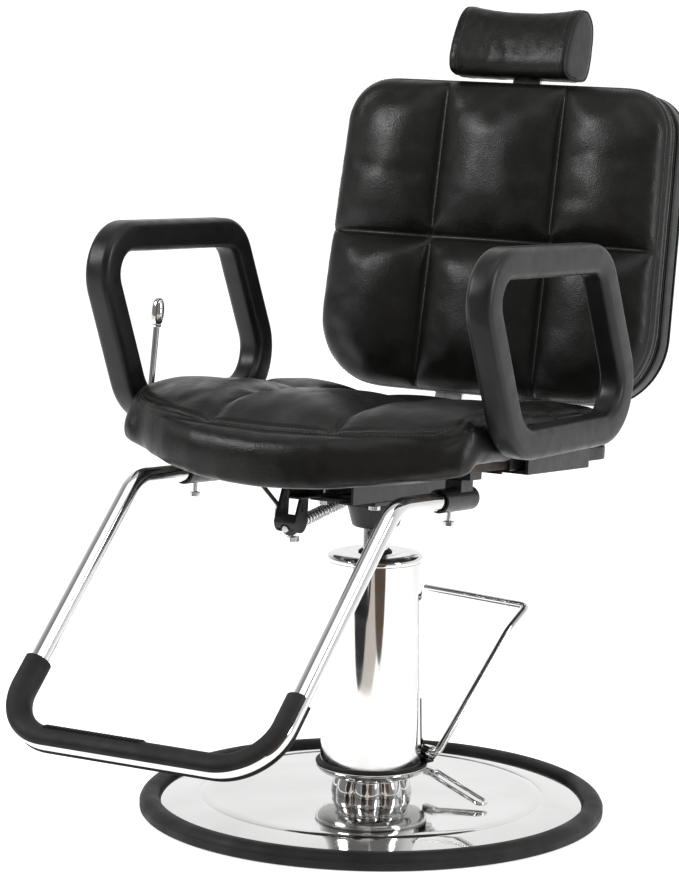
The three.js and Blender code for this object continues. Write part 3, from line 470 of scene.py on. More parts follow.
def evenly(points, spacing, closed=False):
    """The same route with points a given distance apart, as nearly as its length allows."""
    points = np.array(points, float)
    length = distances_along(np.vstack([points, points[:1]]) if closed else points)[-1]
    count = max(int(round(length / spacing)), 2)
    return resampled(points, count if closed else count + 1, closed)


def route_frames(points, closed, up):
    """The two axes of a section along a route; up fixes the second one of a flat route."""
    if closed:
        tangents = np.roll(points, -1, axis=0) - np.roll(points, 1, axis=0)
    else:
        tangents = np.gradient(points, axis=0)
    tangents /= np.linalg.norm(tangents, axis=1)[:, None]
    if up is not None:
        firsts = np.cross(np.array(up, float) / np.linalg.norm(up), tangents)
        firsts /= np.linalg.norm(firsts, axis=1)[:, None]
        return firsts, np.cross(tangents, firsts)
    firsts = np.zeros_like(points)
    side = np.cross(tangents[0], (0.31, 0.52, 0.79))
    for i, tangent in enumerate(tangents):
        side = side - tangent * (side @ tangent)
        side /= np.linalg.norm(side)
        firsts[i] = side
    return firsts, np.cross(tangents, firsts)


def swept(name, points, section, material, closed=False, up=None, matrix=CHAIR, sharp=35):
    """A section, as pairs in millimetres, swept along a route."""
    points = np.array(points, float)
    outline = np.array(section, float)
    firsts, seconds = route_frames(points, closed, up)
    rings = []
    for point, first, second in zip(points, firsts, seconds):
        rings.append(point + outline[:, :1] * first + outline[:, 1:] * second)
    faces = ring_faces(len(rings), len(outline), closed)
    if not closed:
        faces += end_faces(len(rings), len(outline))
    return mesh_piece(name, to_world(matrix, np.vstack(rings)), faces, material, sharp)


def circle(radius, sides):
    angles = [2 * math.pi * i / sides for i in range(sides)]
    return [(radius * math.cos(a), radius * math.sin(a)) for a in angles]


def rounded_box_section(width, height, radius, steps):
    """A rounded rectangle round its own middle."""
    x, y = width / 2 - radius, height / 2 - radius
    outline = []
    for centre, start in (((x, y), 0), ((-x, y), 90), ((-x, -y), 180), ((x, -y), 270)):
        outline += arc(centre, radius, start, start + 90, steps)
    return outline


def attach(piece, body, slot, *stood_for):
    """Makes a visual piece ride a body and hides the nodes that it replaces; the slot is not used."""
    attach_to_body(piece, body)
    if stood_for:
        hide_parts(*stood_for)


# ---- Soft pieces ----


def dense_copy(name, node, voxel, smoothing):
    """A fine, evenly meshed copy of a CAD solid, to be shaped as upholstery."""
    return dense(linked(name, nodes[node].data.copy()), voxel, smoothing)


def add_smoothing(piece, times):
    smooth = piece.modifiers.new("smooth", "SMOOTH")
    smooth.factor = 0.5
    smooth.iterations = times


def dense(piece, voxel, smoothing):
    """The piece with fine, even faces."""
    remesh = piece.modifiers.new("remesh", "REMESH")
    remesh.mode = "VOXEL"
    remesh.voxel_size = voxel * MM
    add_smoothing(piece, smoothing)
    applied(piece)
    piece.data.materials.clear()
    piece.data.materials.append(LEATHER)
    piece.data.shade_smooth()
    return piece


def vectors(items, name):
    """A three-part property of many mesh elements, as an array."""
    values = np.empty(len(items) * 3, np.float32)
    items.foreach_get(name, values)
    return values.reshape(-1, 3).astype(float)


def points_of(piece):
    return vectors(piece.data.vertices, "co")


def normals_of(piece):
    return vectors(piece.data.vertex_normals, "vector")


def set_points(piece, points):
    piece.data.vertices.foreach_set("co", points.astype(np.float32).ravel())
    piece.data.update()


CLOTH_FRAMES = 20


def add_cloth(piece, pins, pressure, grow):
    """Cloth with air inside; pins is each point's hold from 0 to 1."""
    group = piece.vertex_groups.new(name="pins")
    levels = np.round(np.clip(pins, 0, 1) * 20) / 20
    for level in np.unique(levels):
        if level > 0:
            group.add(np.nonzero(levels == level)[0].tolist(), float(level), "REPLACE")
    cloth = piece.modifiers.new("cloth", "CLOTH")
    settings = cloth.settings
    settings.quality = 5
    settings.mass = 0.3
    settings.air_damping = 4
    settings.tension_stiffness = 15
    settings.compression_stiffness = 15
    settings.shear_stiffness = 6
    settings.bending_stiffness = 0.6
    settings.use_pressure = True
    settings.uniform_pressure_force = pressure
    settings.shrink_min = -grow
    settings.vertex_group_mass = "pins"
    settings.pin_stiffness = 1.0
    settings.effector_weights.gravity = 0
    cloth.collision_settings.use_collision = False
    cloth.collision_settings.use_self_collision = False
    cloth.point_cache.frame_start = 1
    cloth.point_cache.frame_end = CLOTH_FRAMES


def run_cloth(pieces):
    """Steps every cloth together, then keeps each result with its movement capped."""
    starts = [points_of(piece) for piece, _ in pieces]
    for moment in range(1, CLOTH_FRAMES + 1):
        scene.frame_set(moment)
    graph = bpy.context.evaluated_depsgraph_get()
    results = [vectors(piece.evaluated_get(graph).to_mesh().vertices, "co") for piece, _ in pieces]
    for (piece, cap), start, moved in zip(pieces, starts, results):
        piece.modifiers.clear()
        step = moved - start
        length = np.linalg.norm(step, axis=1)
        share = np.minimum(1, cap * MM / np.maximum(length, 1e-9))
        set_points(piece, start + step * share[:, None])
    scene.frame_set(1)


def refined(piece, smoothing):
    """Smoothing and one subdivision, so that a seam's groove has points enough."""
    add_smoothing(piece, smoothing)
    finer = piece.modifiers.new("finer", "SUBSURF")
    finer.levels = finer.render_levels = 1
    applied(piece)
    piece.data.shade_smooth()


def surface(piece):
    return BVHTree.FromObject(piece, bpy.context.evaluated_depsgraph_get())


def lifted(hits, lift):
    """Places a lift in millimetres off a surface, and normals, from its points and normals."""
    places = [np.array(hit) + np.array(normal) * lift * MM for hit, normal in hits]
    return np.array(places), np.array([np.array(normal) for _, normal in hits])


def laid_on(tree, matrix, points, direction, lift):
    """Places and normals of a route drawn in a frame and moved along a direction to a surface."""
    ray = np.array(matrix)[:3, :3] @ np.array(direction, float)
    ray /= np.linalg.norm(ray)
    hits = []
    for point in to_world(matrix, points):
        found = tree.ray_cast(Vector(point), Vector(ray), 0.4)
        if found[0] is None:
            found = tree.find_nearest(Vector(point))
        hits.append(found[:2])
    return lifted(hits, lift)


def nearest_on(tree, points, lift):
    """Places and normals where a surface is nearest to chair points in metres."""
    return lifted([tree.find_nearest(Vector(point))[:2] for point in points], lift)


def piping_on(name, places, radius):
    """A closed loop of leather piping through chair points in metres."""
    return swept(name, np.array(places) / MM, circle(radius, 8), LEATHER, closed=True)


def stitches_on(places, normals, side=0.0):
    """A row of separate stitches along a laid route, offset sideways in millimetres."""
    length, pitch, radius = 3.4, 4.8, 0.42
    places, normals = np.array(places), np.array(normals)
    tangents = np.gradient(places, axis=0)
    tangents /= np.maximum(np.linalg.norm(tangents, axis=1), 1e-12)[:, None]
    across = np.cross(normals, tangents)
    line = places + across * side * MM
    along = distances_along(line)
    vertices, faces = [], []
    rings = ((-0.5, 0.35), (-0.3, 1.0), (0.3, 1.0), (0.5, 0.35))
    sides = 6
    stitch_faces = ring_faces(len(rings), sides) + end_faces(len(rings), sides)
    for middle in np.arange(pitch * MM / 2, along[-1], pitch * MM):
        pick = lambda table: np.array([np.interp(middle, along, table[:, k]) for k in range(3)])
        centre, tangent, normal = pick(line), pick(tangents), pick(normals)
        binormal = np.cross(normal, tangent)
        first = len(vertices)
        for share, width in rings:
            for k in range(sides):
                angle = 2 * math.pi * k / sides
                offset = normal * math.sin(angle) * 0.8 + binormal * math.cos(angle)
                reach = tangent * share * length + offset * radius * width
                vertices.append(centre + reach * MM)
        faces += [[first + corner for corner in face] for face in stitch_faces]
    return mesh_piece("stitch", vertices, faces, THREAD, 60)


def seam_stitches(tree, matrix, start, end, direction, sides, count=160, lift=0.3):
    """Rows of stitches beside a straight seam, one for each sideways offset."""
    line = np.linspace(np.array(start, float), np.array(end, float), count)
    places, normals = laid_on(tree, matrix, line, direction, lift)
    return [stitches_on(places, normals, side) for side in sides]


def finish_soft(piece, body, stood_for):
    attach(piece, body, "leather", stood_for)


# ---- Seat cushion ----

SEAT_PANEL_X = 85
SEAT_CROSS_Y = 30
SEAT_FRONT_Y, SEAT_STEP_Y = -304, -96
SEAT_FRONT_HALF, SEAT_REAR_HALF = 240, 230


def seat_half_width(y):
    """Half the cushion's width: more in front of the armrests, and less in the rounded corners."""
    front_corner, rear_corner = 30, 45
    into_front = np.clip(-200 - y, 0, front_corner - 1)
    into_rear = np.clip(y - 159, 0, rear_corner - 1)
    front = SEAT_FRONT_HALF - front_corner + np.sqrt(np.maximum(front_corner**2 - into_front**2, 0))
    rear = SEAT_REAR_HALF - rear_corner + np.sqrt(np.maximum(rear_corner**2 - into_rear**2, 0))
    return np.where(y > SEAT_STEP_Y, rear, front)


def seat_front(x):
    """The Y of the bowed front edge."""
    return SEAT_FRONT_Y + 80 * np.minimum(np.abs(x) / SEAT_FRONT_HALF, 1) ** 2.5


def seat_crown(x, y):
    """The height of the upholstered top, in the seat's frame."""
    share = np.clip(np.abs(x) / 235, 0, 1)
    behind = np.clip((y - seat_front(x)) / 95, 0, 1)
    front_edge = 98 + 28 * share**2
    crest = 127 + 5 * share**2
    rise = front_edge + (crest - front_edge) * np.sin(behind * math.pi / 2) ** 1.5
    back = np.clip((y + 150) / 340, 0, 1)
    hollow = 21 * back**0.8 * (1 - share**3)
    return rise - hollow - 4 * back


def seat_seam_distance(x, y):
    """How far a point of the top is from the nearest sewn channel."""
    return np.minimum(np.abs(np.abs(x) - SEAT_PANEL_X), np.abs(y - SEAT_CROSS_Y))


def border_route(inset_side, inset_front):
    """The sewn line that follows the top's edge, in the seat's frame."""
    side_x = SEAT_REAR_HALF - inset_side
    points = [(-side_x, 156, 0), (-side_x, -90, 0)]
    for share in np.linspace(-1, 1, 61):
        x = share * (SEAT_FRONT_HALF - inset_side - 4)
        bow = inset_front * (1 - 0.25 * abs(share) ** 3) + 12 * abs(share) ** 7
        points.append((x, float(seat_front(x)) + bow, 0))
    points += [(side_x, -90, 0), (side_x, 156, 0)]
    return evenly(points, 4)


def shape_seat(piece):
    """Raises the flat CAD top to its crown, and rounds its long edges."""
    x, y, z = to_local(SEAT, points_of(piece)).T
    half = seat_half_width(y)
    from_edge = np.minimum(np.minimum(half - np.abs(x), y - seat_front(x)), 204 - y)
    flat_top = 126 - (1 - np.clip(np.abs(x) / half, 0, 1) ** 2) * (
        14 + 9 * np.clip((-100 - y) / 180, 0, 1))
    height = np.clip((z - 84) / (flat_top - 84), 0, 1)
    edge = np.clip(from_edge / 22, 0, 1)
    drop = 5.5 * (1 - np.sqrt(np.clip(1 - (1 - edge) ** 2, 0, 1)))
    z = z + height * (seat_crown(x, y) - drop - flat_top)
    seam_z = 107 + 19 * np.clip(np.abs(x) / SEAT_FRONT_HALF, 0, 1) ** 2
    lean = 21 * np.clip((z - 62) / (seam_z - 62), 0, 1) ** 2.2
    y = y + lean * np.clip(1 - (y - seat_front(x)) / 60, 0, 1)
    belly = np.sin(np.clip((z - 50) / 70, 0, 1) * math.pi)
    side_share = np.clip(1 - from_edge / 12, 0, 1)
    x = x + np.sign(x) * side_share * 3 * belly * (np.abs(x) > half - 14)
    y = y - 5 * side_share * belly * (y < seat_front(x) + 14)
    set_points(piece, to_world(SEAT, np.column_stack([x, y, z])))


def seat_pins(piece):
    x, y, z = to_local(SEAT, points_of(piece)).T
    normals = normals_of(piece) @ np.array(SEAT)[:3, :3]
    on_top = (normals[:, 2] > 0.4) & (z > 80)
    seam = np.exp(-((seat_seam_distance(x, y) / 7) ** 2))
    half = seat_half_width(y)
    from_edge = np.minimum(half - np.abs(x), np.minimum(y - seat_front(x) - 22, 204 - y))
    border = np.exp(-((from_edge - 6) / 9) ** 2)
    hold = np.where(on_top, np.maximum(seam, border), np.where(z > 90, 0.6, 0.85))
    return np.where(z < 77, 1.0, hold)


def groove(piece, matrix, distance, mask, depth, width):
    """Sinks the skin along its seams, against its own normals."""
    points, normals = points_of(piece), normals_of(piece)
    local = to_local(matrix, points)
    sink = depth * np.exp(-((distance(local) / width) ** 2)) * mask(local, normals)
    set_points(piece, points - normals * sink[:, None] * MM)


def seat_details(seat):
    """Double stitching along the seat's seams and along its border."""
    tree = surface(seat)
    above, down = 220, (0, 0, -1)
    parts = []
    for x in (-SEAT_PANEL_X, SEAT_PANEL_X):
        start, end = (x, float(seat_front(x)) + 40, above), (x, 176, above)
        parts += seam_stitches(tree, SEAT, start, end, down, (-4.8, 4.8), lift=0.35)
    start, end = (-216, SEAT_CROSS_Y, above), (216, SEAT_CROSS_Y, above)
    parts += seam_stitches(tree, SEAT, start, end, down, (-5.5, 5.5), lift=0.35)
    for inset_side, inset_front in ((11.5, 23.5), (14.5, 26.5)):
        route = border_route(inset_side, inset_front)
        route[:, 2] = above
        parts.append(stitches_on(*laid_on(tree, SEAT, route, down, 0.3)))
    attach(joined("seat_stitches", parts), "seat_frame", "leather")


def make_seat():
    seat = dense_copy("seat_upholstery", "seat_cushion", 5.5, 6)
    shape_seat(seat)
    return seat


def shape_seat_panels(piece):
    """The seat panels' fullness and the wide valleys along the seams."""
    points, normals = points_of(piece), normals_of(piece)
    x, y, z = to_local(SEAT, points).T
    on_top = np.clip((normals @ np.array(SEAT)[:3, 2] - 0.2) / 0.4, 0, 1) * (z > 80)
    off_x, off_y = np.abs(np.abs(x) - SEAT_PANEL_X), np.abs(y - SEAT_CROSS_Y)
    border = np.minimum(seat_half_width(y) - np.abs(x), y - seat_front(x) - 20)
    border = np.tanh(np.maximum(border, 0) / 22)
    full = 4.5 * np.tanh(off_x / 24) * np.tanh(off_y / 26) * border
    valley = np.maximum(4 * np.exp(-((off_x / 11) ** 2)), 4 * np.exp(-((off_y / 12) ** 2)))
    z = z + on_top * (full - valley * np.minimum(border, 1))
    set_points(piece, to_world(SEAT, np.column_stack([x, y, z])))


def finish_seat(seat):
    refined(seat, 16)
    shape_seat_panels(seat)
    top = lambda local, normals: np.clip(
        (normals @ np.array(SEAT)[:3, 2] - 0.25) / 0.4, 0, 1) * (local[:, 2] > 80)
    seams = lambda local: seat_seam_distance(local[:, 0], local[:, 1])
    inner = lambda local, normals: top(local, normals) * np.clip(
        (local[:, 1] - seat_front(local[:, 0]) - 24) / 8, 0, 1)
    groove(seat, SEAT, seams, inner, 3.2, 2.9)

    def border(local, at):
        x, y = local[:, 0], local[:, 1]
        side = np.abs(seat_half_width(y) - at + 12 - np.abs(x))
        front = np.abs(y - seat_front(x) - at)
        inside = y > seat_front(x) + at - 6
        return np.where(inside, np.minimum(side, front), front)

    for at in (20, 30):
        groove(seat, SEAT, lambda local, at=at: border(local, at), top, 1.7, 2.1)
    finish_soft(seat, "seat_frame", "seat_cushion")
    seat_details(seat)


def make_seat_skirt():
    """Leather turned down over the board's edge, along both sides and round the rear corners."""
    strip = rounded_box_section(3.2, 16, 1.4, 4)
    sides = []
    for side in (-1, 1):
        route = rounded_route([(side * 228.5, -92, 70.6), (side * 228.5, 202, 70.6),
                               (side * 118, 202, 70.6)], [44], 16)
        sides.append(swept("skirt", evenly(route, 5), strip, LEATHER, up=(0, 0, 1), matrix=SEAT))
    attach(joined("seat_skirt", sides), "seat_frame", "leather")


# ---- Backrest ----

BACK_PANEL_X = 86
BACK_CROSS_Z = 203
BACK_HALF, BACK_FLARE, BACK_HEIGHT = 234, 11, 412


def back_outline(inset, depth, spacing=4):
    """The rounded outline of the backrest at a depth, in its own frame."""
    half, wide = BACK_HALF - inset, BACK_HALF + BACK_FLARE - inset
    low, high = inset, BACK_HEIGHT - inset
    corners = [(-wide, depth, low), (wide, depth, low), (half, depth, high), (-half, depth, high)]
    radii = [95 - inset, 95 - inset, 62 - inset, 62 - inset]
    return evenly(rounded_route(corners, radii, 24, closed=True), spacing, closed=True)


def distance_to_outline(x, z, inset):
    """The distance of points to the outline, both seen from the front."""
    route = back_outline(inset, 0, 3)[:, [0, 2]]
    result = np.full(len(x), 1e9)
    for start in range(0, len(x), 4000):
        block = np.column_stack([x, z])[start:start + 4000]
        gaps = np.linalg.norm(block[:, None, :] - route[None], axis=2)
        result[start:start + 4000] = gaps.min(1)
    return result


def back_seam_distance(x, z):
    return np.minimum(np.abs(np.abs(x) - BACK_PANEL_X), np.abs(z - BACK_CROSS_Z))


def make_back():
    return dense_copy("back_upholstery", "back_cushion", 5.5, 5)


def back_pins(piece):
    x, y, z = to_local(BACK, points_of(piece)).T
    normals = normals_of(piece) @ np.array(BACK)[:3, :3]
    in_front = normals[:, 1] < -0.5
    seam = np.exp(-((back_seam_distance(x, z) / 7) ** 2))
    border = np.exp(-((distance_to_outline(x, z, 13) / 9) ** 2))
    hold = np.where(in_front, np.maximum(seam, border), 0.7)
    return np.where(y > 40, 1.0, hold)


def shape_back(piece):
    """Panel fullness, the valleys along the seams, and the rolled edge of the front face."""
    points, normals = points_of(piece), normals_of(piece)
    x, y, z = to_local(BACK, points).T
    facing = np.clip((0.85 - np.clip(y, 0, 30) / 30) / 0.6, 0, 1)
    off_x = np.abs(np.abs(x) - BACK_PANEL_X)
    off_z = np.abs(z - BACK_CROSS_Z)
    edge = np.maximum(distance_to_outline(x, z, 0), 0)
    full = np.tanh(off_x / 24) * np.tanh(off_z / 24) * np.tanh(edge / 26)
    under = np.where(z < BACK_CROSS_Z, np.exp(-(((off_z - 34) / 46) ** 2)), 0)
    crossing = np.exp(-((off_x / 34) ** 2))
    valley = 4.5 * np.exp(-((off_x / 11) ** 2))
    valley = np.maximum(valley, (4.5 + 5 * crossing) * np.exp(-((off_z / 12) ** 2)))
    roll = 9 * (1 - np.sqrt(np.clip(1 - (1 - np.clip(edge / 30, 0, 1)) ** 2, 0, 1)))
    depth = roll + valley * np.tanh(edge / 16) - (5 + 4 * under) * full
    y = y + facing * depth
    set_points(piece, to_world(BACK, np.column_stack([x, y, z])))


def back_details(back):
    """Stitching beside the seams and round the side band, and piping along the rear edge."""
    tree = surface(back)
    before, into = -90, (0, 1, 0)
    parts = []
    for x in (-BACK_PANEL_X, BACK_PANEL_X):
        parts += seam_stitches(tree, BACK, (x, before, 22), (x, before, 392), into, [5.5], 150)
    start, end = (-222, before, BACK_CROSS_Z), (222, before, BACK_CROSS_Z)
    parts += seam_stitches(tree, BACK, start, end, into, [-5.5])
    for depth in (13, 33):
        route = to_world(BACK, back_outline(0, depth, 5))
        parts.append(stitches_on(*nearest_on(tree, route, 0.3)))
    attach(joined("back_stitches", parts), "backrest", "leather")
    route, _ = nearest_on(tree, to_world(BACK, back_outline(0.2, 45.0)), 0.9)
    for _ in range(4):
        route = (np.roll(route, 1, 0) + 2 * route + np.roll(route, -1, 0)) / 4
    attach(piping_on("back_piping_rear", route, 1.6), "backrest", "leather")


def finish_back(back):
    refined(back, 14)
    shape_back(back)
    front = lambda local, normals: np.clip((-(normals @ np.array(BACK)[:3, 1]) - 0.3) / 0.4, 0, 1)
    seams = lambda local: back_seam_distance(local[:, 0], local[:, 2])
    groove(back, BACK, seams, front, 3.4, 2.9)
    band = lambda local, normals: np.clip((0.75 + normals @ np.array(BACK)[:3, 1]) / 0.3, 0, 1)
    for depth in (17, 29):
        edge = lambda local, at=depth: np.abs(local[:, 1] - at)
        groove(back, BACK, edge, band, 1.5, 2.2)
    finish_soft(back, "backrest", "back_cushion")
    back_details(back)


def make_back_shell():
    """The leather-covered rear shell, whose rolled edge closes round the board."""
    profile = ([(14, 51.0), (5, 51.0)] + arc((5, 54.0), 3, 270, 180, 4)[1:]
               + [(2.2, 60)] + arc((12, 68.0), 10, 180, 90, 8) + [(30, 79.5)])
    rings = [back_outline(inset, depth, 6) for inset, depth in profile]
    count = min(len(r) for r in rings)
    rings = [resampled(ring, count, closed=True) for ring in rings]
    faces = ring_faces(len(rings), count) + end_faces(len(rings), count)
    shell = mesh_piece("back_shell", to_world(BACK, np.vstack(rings)), faces, LEATHER, 60)
    attach(shell, "backrest", "leather", "back_cover", "back_board")
    piping = piping_on("back_shell_piping", to_world(BACK, back_outline(4.0, 78.0)), 2.0)
    attach(piping, "backrest", "leather")


# ---- Headrest ----

PILLOW_HALF = 86


def make_pillow():
    """A roll whose front leans back, and whose front and top dip in the middle of its width."""
    outline = np.array([
        (20, 418.5), (50, 419), (69, 423), (76, 445), (76, 484), (70, 503), (56, 514), (40, 516),
        (27, 512), (14, 498), (4, 476), (-2, 454), (-4, 438), (-1, 426), (8, 420)], float)
    for _ in range(3):
        after = np.roll(outline, -1, axis=0)
        outline = np.stack([0.75 * outline + 0.25 * after, 0.25 * outline + 0.75 * after], 1)
        outline = outline.reshape(-1, 2)
    middle = outline.mean(0)
    edge_radius = 5
    turns = np.radians(np.linspace(90, 0, 5))
    ends = [(PILLOW_HALF - edge_radius + edge_radius * math.sin(t),
             edge_radius * (1 - math.cos(t))) for t in turns]
    rows = [(-x, inset) for x, inset in ends] + [
        (x, 0) for x in np.linspace(-76, 76, 39)] + ends[::-1]
    inward = middle - outline
    inward /= np.linalg.norm(inward, axis=1)[:, None]
    points = []
    for x, inset in rows:
        row = outline + inward * inset
        dip = 1 - (x / PILLOW_HALF) ** 2
        back = 10 * dip * np.clip((35 - row[:, 0]) / 35, 0, 1)
        down = 8 * dip * np.clip((row[:, 1] - 466) / 48, 0, 1)
        points += [(x, y + b, z - d) for (y, z), b, d in zip(row, back, down)]
    faces = ring_faces(len(rows), len(outline)) + end_faces(len(rows), len(outline))
    pillow = mesh_piece("headrest_upholstery", to_world(BACK, points), faces, LEATHER)
    return dense(pillow, 4.0, 3)


def pillow_pins(piece):
    x, _, z = to_local(BACK, points_of(piece)).T
    ends = np.exp(-(((PILLOW_HALF - np.abs(x)) / 7) ** 2))
    near_stem = (np.abs(x) < 26) & (z < 430)
    return np.maximum(ends, np.where(near_stem, 1.0, 0.15))


def pillow_loop(tree, x):
    """A loop round the headrest across its length, from rays towards its middle."""
    middle_y, middle_z, away = 36, 466, 90
    centre = to_world(BACK, [(x, middle_y, middle_z)])[0]
    hits = []
    for angle in np.linspace(0, 2 * math.pi, 90, endpoint=False):
        y, z = middle_y + away * math.cos(angle), middle_z + away * math.sin(angle)
        start = to_world(BACK, [(x, y, z)])[0]
        hit, normal, _, _ = tree.ray_cast(Vector(start), Vector(centre - start).normalized(), 0.2)
        if hit is not None:
            hits.append((hit, normal))
    return lifted(hits, 0.5)[0]


def finish_pillow(pillow):
    refined(pillow, 6)
    finish_soft(pillow, "headrest", "headrest_pillow")
    tree = surface(pillow)
    parts = [piping_on("piping", pillow_loop(tree, side * (PILLOW_HALF - 3)), 1.5) for side in (-1, 1)]
    for side in (-1, 1):
        route = pillow_loop(tree, side * (PILLOW_HALF - 12))
        outward = route - route.mean(0)
        outward /= np.linalg.norm(outward, axis=1)[:, None]
        parts.append(stitches_on(route, outward))
    attach(joined("headrest_piping", parts), "headrest", "leather")


# ---- Base and column ----


def make_rubber_ring():
    ring = lathe("rubber_ring", [(263.5, 0), (288, 0)] + arc((288, 4), 4, -90, 0, 4)
                 + [(292, 11)] + arc((279, 8), 13, 10, 90, 8) + [(273, 20.6), (269.5, 19), (268, 17)]
                 + [(268, 9.6), (263.5, 9.6)], RUBBER, segments=200)
    attach(ring, "base", "rubber", "base_rubber_ring")


def make_cover():
    """The shallow chrome dome, with a pressed groove near its edge."""
    cover = lathe("chrome_cover", [
        (267.5, 10), (267.6, 12), (265, 13.4), (258, 14.6), (249, 16.1), (240, 17.5), (228, 19.2),
        (219, 20.2), (216.6, 20.2), (215.4, 19.4), (214.2, 19.9), (212.4, 21.2), (200, 21.5),
        (160, 22), (120, 22.3), (90, 22.5), (66, 22.5), (62, 22.2), (58, 22.4), (30, 22.3),
        (30, 20.8), (120, 20.6), (213, 18.6), (240, 16), (262, 12.2), (265, 10),
    ], CHROME, segments=220, sharp=50)
    attach(cover, "base", "chrome", "base_cover")


def make_neck():
    """The casting with eight rounded lobes under the column."""
    steps, lobes = 240, 8
    outline = []
    for i in range(steps):
        angle = 2 * math.pi * i / steps
        radius = 43 + 7.5 * abs(math.sin(lobes / 2 * angle)) ** 0.62
        outline.append((radius * math.cos(angle), radius * math.sin(angle)))
    rows = [(22.6 + 22.1 * i / 12, 0.9 + 0.11 * math.cos(math.pi / 2 * i / 12)) for i in range(13)]
    vertices = [(x * s, y * s, z) for z, s in rows for x, y in outline]
    faces = ring_faces(len(rows), steps) + end_faces(len(rows), steps)
    neck = mesh_piece("lobed_neck", to_world(CHAIR, vertices), faces, CHROME, 40)
    attach(neck, "base", "chrome", "column_neck")


def make_shroud():
    """The chrome tube, narrowing upwards, with its open pedal slot."""
    segments, rows = 240, 64
    low_z, high_z, low_r, high_r = 63.0, 318.0, 65.5, 59.0
    slot_start, slot_end = math.radians(19.8 + PUMP_DEGREES), math.radians(46 + PUMP_DEGREES)
    slot_top = 148
    vertices = []
    for row in range(rows + 1):
        z = low_z + (high_z - low_z) * row / rows
        radius = low_r + (high_r - low_r) * row / rows - 0.2
        for i in range(segments):
            angle = 2 * math.pi * i / segments
            vertices.append((radius * math.cos(angle), radius * math.sin(angle), z))
    faces = []
    for number, face in enumerate(ring_faces(rows + 1, segments)):
        z = low_z + (high_z - low_z) * (number // segments + 0.5) / rows
        angle = 2 * math.pi * (number % segments + 0.5) / segments
        if z >= slot_top or not slot_start < angle < slot_end:
            faces.append(face)
    shroud = mesh_piece("chrome_shroud", to_world(CHAIR, vertices), faces, CHROME, 50)
    wall = shroud.modifiers.new("wall", "SOLIDIFY")
    wall.thickness = 1.8 * MM
    wall.offset = -1
    applied(shroud)
    shroud.data.shade_smooth()
    shroud.data.set_sharp_from_angle(angle=math.radians(50))
    attach(shroud, "base", "chrome", "column_shroud")


def make_column():
    collar = lathe("chrome_collar", [(0, 45)] + [
        (50, 45), (55, 45.9), (60, 47.4), (64, 49.3), (67, 51.6), (69, 53.6), (70.3, 55.8),
        (70.9, 57.4), (70.7, 58.7), (69.8, 59.2), (68.5, 58.9), (66, 55.5), (62, 52), (56, 50.5)]
        + [(0, 50.5)], CHROME, sharp=50)
    attach(collar, "base", "chrome", "column_collar")
    gasket = lathe("black_gasket", [(60, 59.3), (69.8, 59.3), (70.6, 60), (70.8, 61), (70.5, 62.2),
                                    (69.6, 62.7), (60, 62.7)], RUBBER)
    attach(gasket, "base", "rubber", "collar_gasket")
    make_shroud()
    cap = lathe("chrome_cap", [
        (21.3, 318.3), (59, 318.3), (59.7, 319), (59.8, 320), (59.8, 323), (59.4, 324.6),
        (58, 326.2), (55.5, 327.4), (52, 328.1), (46, 328.6), (38, 328.9), (36, 328.6), (34, 328.9),
        (28, 329.2), (22.2, 329.3), (21.3, 328.6)], CHROME, sharp=50)
    attach(cap, "base", "chrome", "shroud_cap")
    seal = lathe("piston_seal", [
        (15.9, 318.4), (20.9, 318.4), (20.9, 329.4), (20.3, 330.6), (19, 331.4), (18.2, 332.3),
        (16.8, 332.6), (15.9, 332.2)], RUBBER)
    attach(seal, "base", "rubber", "rod_seal")
    piston = lathe("chrome_piston", [(0, 80), (14.8, 80), (15.5, 81), (15.5, 384), (14.5, 385),
                                     (0, 385)], CHROME, segments=96, sharp=50)
    attach(piston, "lift", "chrome", "lift_piston")
    hub = lathe("painted_hub", [
        (15.8, 362.2), (27, 362.2), (28.6, 362.8), (29.6, 364.2), (30.6, 367), (32, 372), (36, 388),
        (36.9, 391.6), (36.8, 392.4), (15.8, 392.4)], BLACK_PAINT, segments=96)
    attach(hub, "seat_frame", "black_paint")


# ---- Pedal, lock lever and their fittings ----


def make_pump_controls():
    pedal = swept("pedal_rod", rounded_route([
        (46, -5, 76), (46, 36.8, 76), (75.5, 36.8, 76), (84.5, 164.5, 217), (84.5, 203, 242),
        (-84.5, 203, 242)], [6, 7, 60, 9], 14), circle(4.7, 20), CHROME, matrix=PUMP)
    attach(pedal, "pedal", "chrome", "pump_pedal")
    start, end = np.array((60.5, 49, 47.5)), np.array((157, 30.5, 28.5))
    side = np.cross(end - start, (0, 0, 1))
    side /= np.linalg.norm(side)
    wire = swept("lock_wire", rounded_route([
        start + side, start + side * 7.6, end + side * 7.6, end - side * 7.6, start - side * 7.6,
        start - side], [3, 7, 7, 3], 10), circle(2.6, 14), CHROME, matrix=PUMP)
    attach(wire, "lock", "chrome", "lock_lever")


# ---- Footrest ----


def tread_section():
    """The rubber channel, open on its lower outer side, with thinner lips beside the opening."""
    middle, half = math.radians(-6), math.radians(43)
    outer, inner, steps = 16.6, 11.4, 30
    outline, inside = [], []
    for i in range(steps + 1):
        angle = middle + half + (i / steps) * (2 * math.pi - 2 * half)
        edge = min(i, steps - i) / steps
        radius = outer * (1 - 0.12 * math.exp(-((edge / 0.04) ** 2)))
        outline.append((radius * math.cos(angle), radius * math.sin(angle)))
        inside.append((inner * math.cos(angle), inner * math.sin(angle)))
    return outline + inside[::-1]


